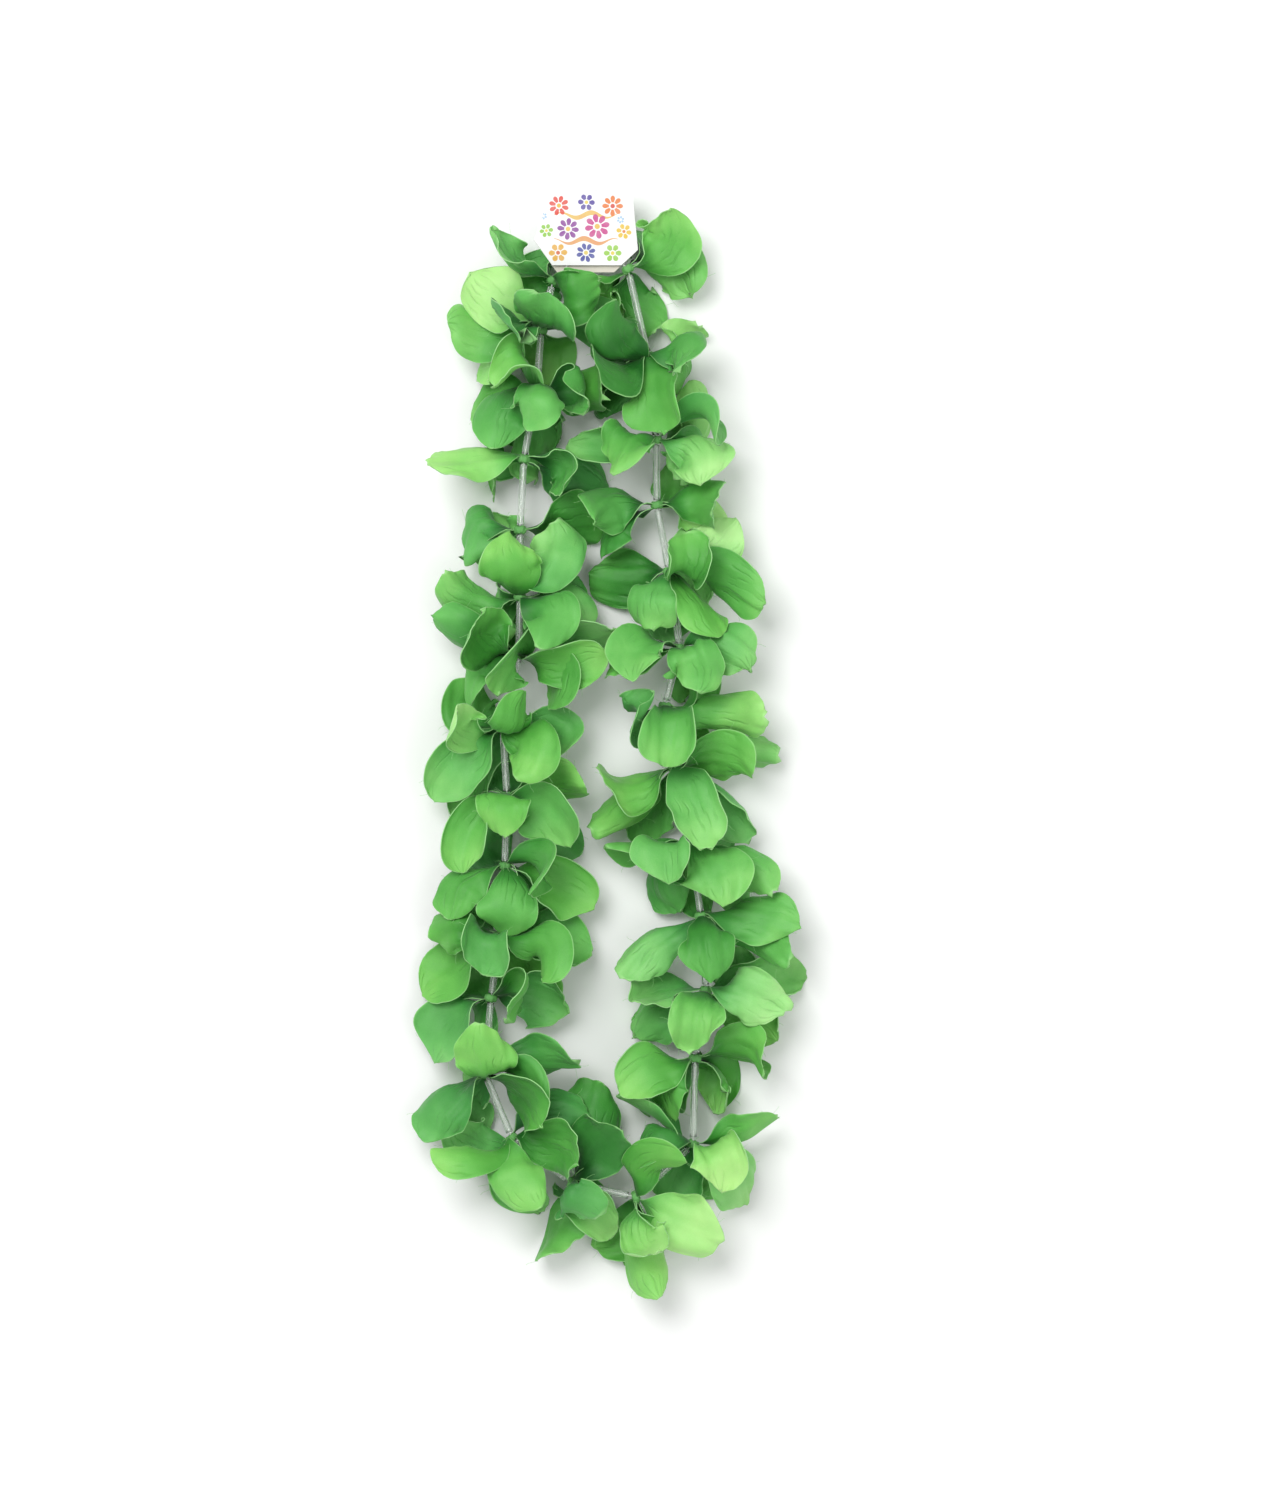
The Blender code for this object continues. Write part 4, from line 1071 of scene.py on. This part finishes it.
gaps = range(len(BLOOMS) - 1)
tubes = shown("clear_tubes", mesh_from("clear_tubes", [point for k in gaps for point in tube_ends(k)],
                                       [(2 * k, 2 * k + 1) for k in gaps]))
with_tree(tubes, pipe_tree(), {"Radius": TUBE_OUTER_RADIUS, "Sides": TUBE_SIDES, "Plastic": tube_material()})
settled(tubes)
thickened(tubes, TUBE_OUTER_RADIUS - TUBE_INNER_RADIUS, side=-1)
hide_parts(*[f"tube_{k + 1:02d}" for k in gaps])
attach(tubes, "root")


# The thread. Two-ply white polyester, run through every bloom and tube and up between the leaves of
# the card, which hold it.

PLY_RADIUS = 0.00021
PLY_SIDES = 5
TWIST_PITCH = 0.0016
STEPS_A_TWIST = 6


def twine_tree():
    """Geometry Nodes: two plies twisted round each other along the route."""
    tree, start, end = geometry_tree("two_ply_twine", Float=["Ply radius", "Pitch"], Material=["Yarn"])
    fine = add_node(tree, "GeometryNodeResampleCurve", {"Curve": as_curve(tree, start["Geometry"]),
                                                        "Length": TWIST_PITCH / STEPS_A_TWIST},
                    mode="LENGTH")
    turned = maths(tree, "DIVIDE", add_node(tree, "GeometryNodeSplineParameter").outputs["Length"],
                   start["Pitch"])
    gather = add_node(tree, "GeometryNodeJoinGeometry")
    for half_turn in (0.0, 0.5):
        swung = add_node(tree, "ShaderNodeVectorRotate", {
            "Vector": add_node(tree, "GeometryNodeInputNormal").outputs[0],
            "Axis": add_node(tree, "GeometryNodeInputTangent").outputs[0],
            "Angle": times(tree, maths(tree, "ADD", turned, half_turn), 2 * math.pi),
        }, rotation_type="AXIS_ANGLE")
        ply = moved(tree, fine.outputs[0], swung.outputs[0], start["Ply radius"])
        set_inputs(tree, gather, {0: piped(tree, ply, start["Ply radius"], PLY_SIDES)})
    return made_real(tree, end, smoothed(tree, gather.outputs[0]), start["Yarn"])


def yarn_material():
    """White polyester yarn, softly fuzzy."""
    found, tree, shader, spot = new_material("white_yarn", 0.75)
    set_inputs(tree, shader, {
        "Base Color": mixed(tree, noise(tree, spot, 3000), (0.62, 0.66, 0.60), (0.92, 0.93, 0.90)),
        "Sheen Weight": 0.3,
    })
    return found


route = thread_route()
twine = shown("twine", mesh_from("twine", route, [(k, (k + 1) % len(route)) for k in range(len(route))]))
with_tree(twine, twine_tree(), {"Ply radius": PLY_RADIUS, "Pitch": TWIST_PITCH, "Yarn": yarn_material()})
settled(twine)
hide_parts("thread")
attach(twine, "root")


# The loose fibres. Cutting the cloth leaves fine threads at the rims of the petals and where they are
# pressed to the middle; some are pulled out and curl.

FIBRE_RADIUS = 0.00007
FIBRE_LENGTH = 0.0055
FIBRE_CURL = 0.006
FIBRE_STEPS = 7
FIBRE_LOWEST = 0.0003
FIBRE_SIDES = 3
FIBRE_SIZES = (0.35, 1.0)
FIBRES_A_PETAL = (1, 2, 3)
FIBRES_A_MIDDLE = 9
FIBRED_RIM_MM = 0.05
FIBRED_FROM, FIBRED_TO = 0.4, 0.99
RIM_STRAY = 0.6
MIDDLE_STRAY = 1.2
MIDDLE_REACH = 0.8
UPWARD_PULL = 0.5
FIBRE_SEED = 77
FIBRE_SIZE_SEED = 5


def fibre_tree():
    """Geometry Nodes: a curled three-sided fibre at each point, along its own way."""
    tree, start, end = geometry_tree("frayed_fibres", Float=["Length", "Radius", "Curl"], Int=["Seed"],
                                     Material=["Yarn"])
    aim = add_node(tree, "FunctionNodeAlignRotationToVector", {"Vector": named(tree, "way", "FLOAT_VECTOR")},
                   axis="Z")
    least, most = FIBRE_SIZES
    size = add_node(tree, "FunctionNodeRandomValue", {2: least, 3: most, "Seed": start["Seed"]},
                    data_type="FLOAT")
    line = add_node(tree, "GeometryNodeCurvePrimitiveLine", {"End": joined(tree, 0, 0, start["Length"])})
    fine = add_node(tree, "GeometryNodeResampleCurve", {"Curve": line.outputs[0], "Count": FIBRE_STEPS})
    put = add_node(tree, "GeometryNodeInstanceOnPoints", {
        "Points": start["Geometry"], "Instance": fine.outputs[0], "Rotation": aim.outputs[0],
        "Scale": size.outputs[1]})
    loose = add_node(tree, "GeometryNodeRealizeInstances", {0: put.outputs[0]}).outputs[0]
    where = add_node(tree, "GeometryNodeInputPosition").outputs[0]
    stray = add_node(tree, "ShaderNodeTexNoise", {"Vector": where, "Scale": 160}).outputs["Color"]
    centred = add_node(tree, "ShaderNodeVectorMath", {0: stray, 1: (0.5, 0.5, 0.5)}, operation="SUBTRACT")
    share = maths(tree, "POWER", add_node(tree, "GeometryNodeSplineParameter").outputs["Factor"], 1.4)
    bent = moved(tree, loose, centred.outputs[0], times(tree, share, start["Curl"]))
    strand = piped(tree, above_table(tree, bent, FIBRE_LOWEST), start["Radius"], FIBRE_SIDES, capped=True)
    return made_real(tree, end, strand, start["Yarn"])


def fibre_starts():
    """Where the fibres leave the cloth, and which way they point."""
    dice = random.Random(FIBRE_SEED)
    points, ways = [], []
    for index, bloom in enumerate(blooms):
        marks = bloom.data.attributes
        petals = {}
        for vert, number, rim, along in zip(bloom.data.vertices, marks["number"].data,
                                            marks["rim_mm"].data, marks["along"].data):
            petals.setdefault(round(number.value), []).append((vert.co.copy(), rim.value, along.value))
        for _, found in sorted(petals.items()):
            middle = sum((spot for spot, _, _ in found), Vector()) / len(found)
            rims = [spot for spot, rim, along in found
                    if rim < FIBRED_RIM_MM and FIBRED_FROM < along < FIBRED_TO]
            for at in dice.sample(rims, min(dice.choice(FIBRES_A_PETAL), len(rims))):
                points.append(at)
                stray = Vector([dice.uniform(-RIM_STRAY, RIM_STRAY) for _ in range(3)])
                ways.append((at - middle).normalized() + stray)
        centre, axis = SEATS[index], axis_at(index)
        for _ in range(FIBRES_A_MIDDLE):
            chance = Vector([dice.uniform(-1, 1) for _ in range(3)])
            spoke = square_to(chance + TOWARDS_VIEWER * UPWARD_PULL, axis).normalized()
            level = dice.choice((-1, 1)) * HUB_HALF_HEIGHT
            points.append(centre + spoke * HUB_RADIUS * MIDDLE_REACH + axis * level)
            ways.append(spoke + axis * dice.uniform(-MIDDLE_STRAY, MIDDLE_STRAY))
    return points, ways


points, ways = fibre_starts()
fibres = shown("frayed_fibres", mesh_from("frayed_fibres", points))
way_layer = fibres.data.attributes.new("way", "FLOAT_VECTOR", "POINT")
for item, vector in zip(way_layer.data, ways):
    item.vector = vector.normalized()
green_fibre = plain_cloth("green_fibre", 0.6, 900, 0.8, (0.10, 0.38, 0.08), (0.45, 0.80, 0.35))
with_tree(fibres, fibre_tree(), {"Length": FIBRE_LENGTH, "Radius": FIBRE_RADIUS, "Curl": FIBRE_CURL,
                                 "Seed": FIBRE_SIZE_SEED, "Yarn": green_fibre})
settled(fibres)
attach(fibres, "root")


# The header card. One strip of thin white board, folded over the thread at the top, cut to six sides
# and glued in the middle; its front leaf is printed with small bright blossoms and two ribbons.

CARD_MIDDLE = place(586, 228)
MM = 0.001

# Each ribbon's height on the card and the phase of its wave, then the two inks it runs between.
RIBBONS = (
    (6.0, 0.4, (0.64, 0.28, 0.01), (0.60, 0.46, 0.03)),
    (-6.4, 2.0, (0.62, 0.14, 0.02), (0.60, 0.34, 0.02)),
)
RIBBON_SWING = 1.2 * MM
RIBBON_HALF_LENGTH = 15.5 * MM
RIBBON_HALF_WIDTH = 0.75 * MM
RIBBON_SWELL = 0.55 * MM

# Each blossom's place on the card and radius in millimetres, its turn, its petals and its two inks.
BLOSSOMS = (
    (-13.0, 10.6, 5.0, 0.3, 8, (0.58, 0.035, 0.015), (0.62, 0.36, 0.02)),
    (0.2, 12.2, 4.2, 1.1, 6, (0.055, 0.025, 0.26), (0.62, 0.48, 0.06)),
    (12.8, 10.4, 5.2, 0.8, 8, (0.62, 0.15, 0.01), (0.52, 0.04, 0.015)),
    (-8.6, -0.6, 5.4, 0.1, 8, (0.20, 0.02, 0.25), (0.62, 0.42, 0.04)),
    (5.4, 0.6, 6.2, 0.6, 8, (0.46, 0.025, 0.20), (0.62, 0.38, 0.03)),
    (-19.0, -1.4, 3.4, 0.9, 6, (0.22, 0.46, 0.03), (0.62, 0.50, 0.06)),
    (18.2, -1.8, 3.8, 0.2, 6, (0.64, 0.42, 0.015), (0.60, 0.18, 0.02)),
    (-13.4, -12.0, 4.6, 1.0, 6, (0.64, 0.33, 0.012), (0.56, 0.10, 0.012)),
    (0.0, -12.0, 4.8, 0.5, 8, (0.035, 0.045, 0.28), (0.62, 0.46, 0.07)),
    (12.8, -12.2, 4.4, 0.0, 6, (0.24, 0.48, 0.03), (0.62, 0.50, 0.05)),
    (-20.4, 5.6, 1.8, 0.4, 6, (0.30, 0.46, 0.64), (0.70, 0.70, 0.70)),
    (16.6, 3.8, 1.9, 0.7, 6, (0.30, 0.46, 0.64), (0.70, 0.70, 0.70)),
)


def blossom_group():
    """A printed daisy: one mask for its round petals and one for the spot at its heart."""
    group, start, end = new_group("printed_blossom", "ShaderNodeTree",
                                  {"Vector": ["Vector", "Centre"], "Float": ["Radius", "Turn", "Lobes"]},
                                  {"Float": ["Petals", "Heart"]})
    away = add_node(group, "ShaderNodeVectorMath", {0: start["Vector"], 1: start["Centre"]},
                    operation="SUBTRACT")
    across, down, _ = parts(group, away.outputs[0])
    far = maths(group, "DIVIDE", far_from(group, across, down), start["Radius"])
    angle = maths(group, "ADD", maths(group, "ARCTAN2", down, across), start["Turn"])
    lobes = times(group, start["Lobes"], 0.5)
    lobe = maths(group, "ABSOLUTE", maths(group, "COSINE", times(group, angle, lobes)))
    outline = maths(group, "MULTIPLY_ADD", maths(group, "POWER", lobe, 0.5), 0.6, 0.4)
    petals = times(group, over(group, outline, far, 14.0), over(group, lobe, 0.26, 9.0),
                   over(group, far, 0.31, 20.0))
    set_inputs(group, end, {"Petals": petals, "Heart": over(group, 0.23, far, 24.0)})
    return group


def card_material():
    """White coated board: the print on its front, a soft grain, a grey cut edge, and painted shadow on the
    back leaf under the front one.
    """
    found, tree, shader, spot = new_material("printed_board", 0.42)
    x, y, z = parts(tree, spot)
    facing = parts(tree, add_node(tree, "ShaderNodeNewGeometry").outputs["Normal"])["Z"]
    upward = maths(tree, "GREATER_THAN", facing, 0.9)
    front = times(tree, upward, maths(tree, "GREATER_THAN", z, THREAD_HEIGHT))
    cut = maths(tree, "LESS_THAN", maths(tree, "ABSOLUTE", facing), 0.3)
    mottle = noise(tree, spot, 900)
    ink = noise(tree, spot, 380, detail=3)
    colour = mixed(tree, mottle, (0.76, 0.76, 0.755), (0.80, 0.80, 0.80))
    # Painted shadow: the back leaf's upward face, which shows below the front leaf, is darkened to a beige
    # grey as the front leaf's shade.
    colour = mixed(tree, maths(tree, "SUBTRACT", upward, front), colour, (0.60, 0.56, 0.48))
    colour = mixed(tree, cut, colour, (0.52, 0.52, 0.50))
    across = maths(tree, "SUBTRACT", x, CARD_MIDDLE.x)
    for level, phase, first, second in RIBBONS:
        wave = maths(tree, "SINE", maths(tree, "MULTIPLY_ADD", across, 430.0, phase))
        middle = maths(tree, "MULTIPLY_ADD", wave, RIBBON_SWING, CARD_MIDDLE.y + level * MM)
        off = maths(tree, "ABSOLUTE", maths(tree, "SUBTRACT", y, middle))
        width = maths(tree, "MULTIPLY_ADD", maths(tree, "COSINE", times(tree, across, 190.0)),
                      RIBBON_SWELL, RIBBON_HALF_WIDTH)
        within = over(tree, RIBBON_HALF_LENGTH, maths(tree, "ABSOLUTE", across), 3000.0)
        share = times(tree, over(tree, width, off, 9000.0), within, front, 0.85)
        colour = mixed(tree, share, colour, mixed(tree, ink, first, second))
    group = blossom_group()
    worn = maths(tree, "MULTIPLY_ADD", ink, 0.3, 0.78, clamp=True)
    for left, up, radius, turn, lobes, tint, heart in BLOSSOMS:
        flower = add_node(tree, "ShaderNodeGroup", node_tree=group)
        set_inputs(tree, flower, {
            "Vector": spot, "Centre": (CARD_MIDDLE.x + left * MM, CARD_MIDDLE.y + up * MM, 0),
            "Radius": radius * MM, "Turn": turn, "Lobes": lobes})
        for part, hue in (("Petals", tint), ("Heart", heart)):
            colour = mixed(tree, times(tree, flower.outputs[part], front, worn), colour, hue)
    set_inputs(tree, shader, {"Base Color": colour, "Normal": bumped(tree, mottle, 0.08, 0.0003)})
    return found


printed_board = card_material()
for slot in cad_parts["header_card"].material_slots:
    slot.material = printed_board


# The table the lei lies on, and the light: a wide soft box over it, a weaker one from the other side
# and a bright room all round.

TABLE_HALF = 3
TABLE_TOP = -0.0002

table_corners = [(x * TABLE_HALF, y * TABLE_HALF, TABLE_TOP)
                 for x, y in ((-1, -1), (1, -1), (1, 1), (-1, 1))]
table = shown("table_top", mesh_from("table_top", table_corners, faces=[(0, 1, 2, 3)]))
white_table, table_nodes, table_shader, _ = new_material("white_table", 0.9)
set_inputs(table_nodes, table_shader, {"Base Color": (0.88, 0.88, 0.88), "Specular IOR Level": 0.1})
table.data.materials.append(white_table)

room = bpy.data.worlds.new("bright_room")
bpy.context.scene.world = room
room.use_nodes = True
set_inputs(room.node_tree, room.node_tree.nodes["Background"], {"Color": (1.0, 1.0, 1.0), "Strength": 0.70})


def soft_box(name, where, size, power):
    """A square area light that faces the middle of the lei."""
    light = bpy.data.lights.new(name, "AREA")
    light.shape = "SQUARE"
    light.size = size
    light.energy = power
    found = shown(name, light)
    found.location = where
    found.rotation_euler = (-Vector(where)).to_track_quat("-Z", "Y").to_euler()


soft_box("key_box", (-0.55, 0.7, 1.75), 1.0, 25)
soft_box("fill_box", (0.9, -0.5, 1.6), 1.2, 6)


# The camera, straight over the table. Its frame is as high as the front view that the lei is laid out
# on, so every piece stands at its place in the picture.

CAMERA_HEIGHT = 2.5
SENSOR_WIDTH = 36
PICTURE_MIDDLE = (636.5, 745.0)
PICTURE_HEIGHT = 1490

camera = shown("camera", bpy.data.cameras.new("camera"))
camera.location = place(*PICTURE_MIDDLE, CAMERA_HEIGHT)
camera.data.sensor_width = SENSOR_WIDTH
camera.data.lens = SENSOR_WIDTH * (CAMERA_HEIGHT - THREAD_HEIGHT) / (PICTURE_HEIGHT * VIEW_UNIT)
camera.data.clip_start = 0.1
bpy.context.scene.camera = camera
bpy.context.scene.view_settings.view_transform = "Standard"
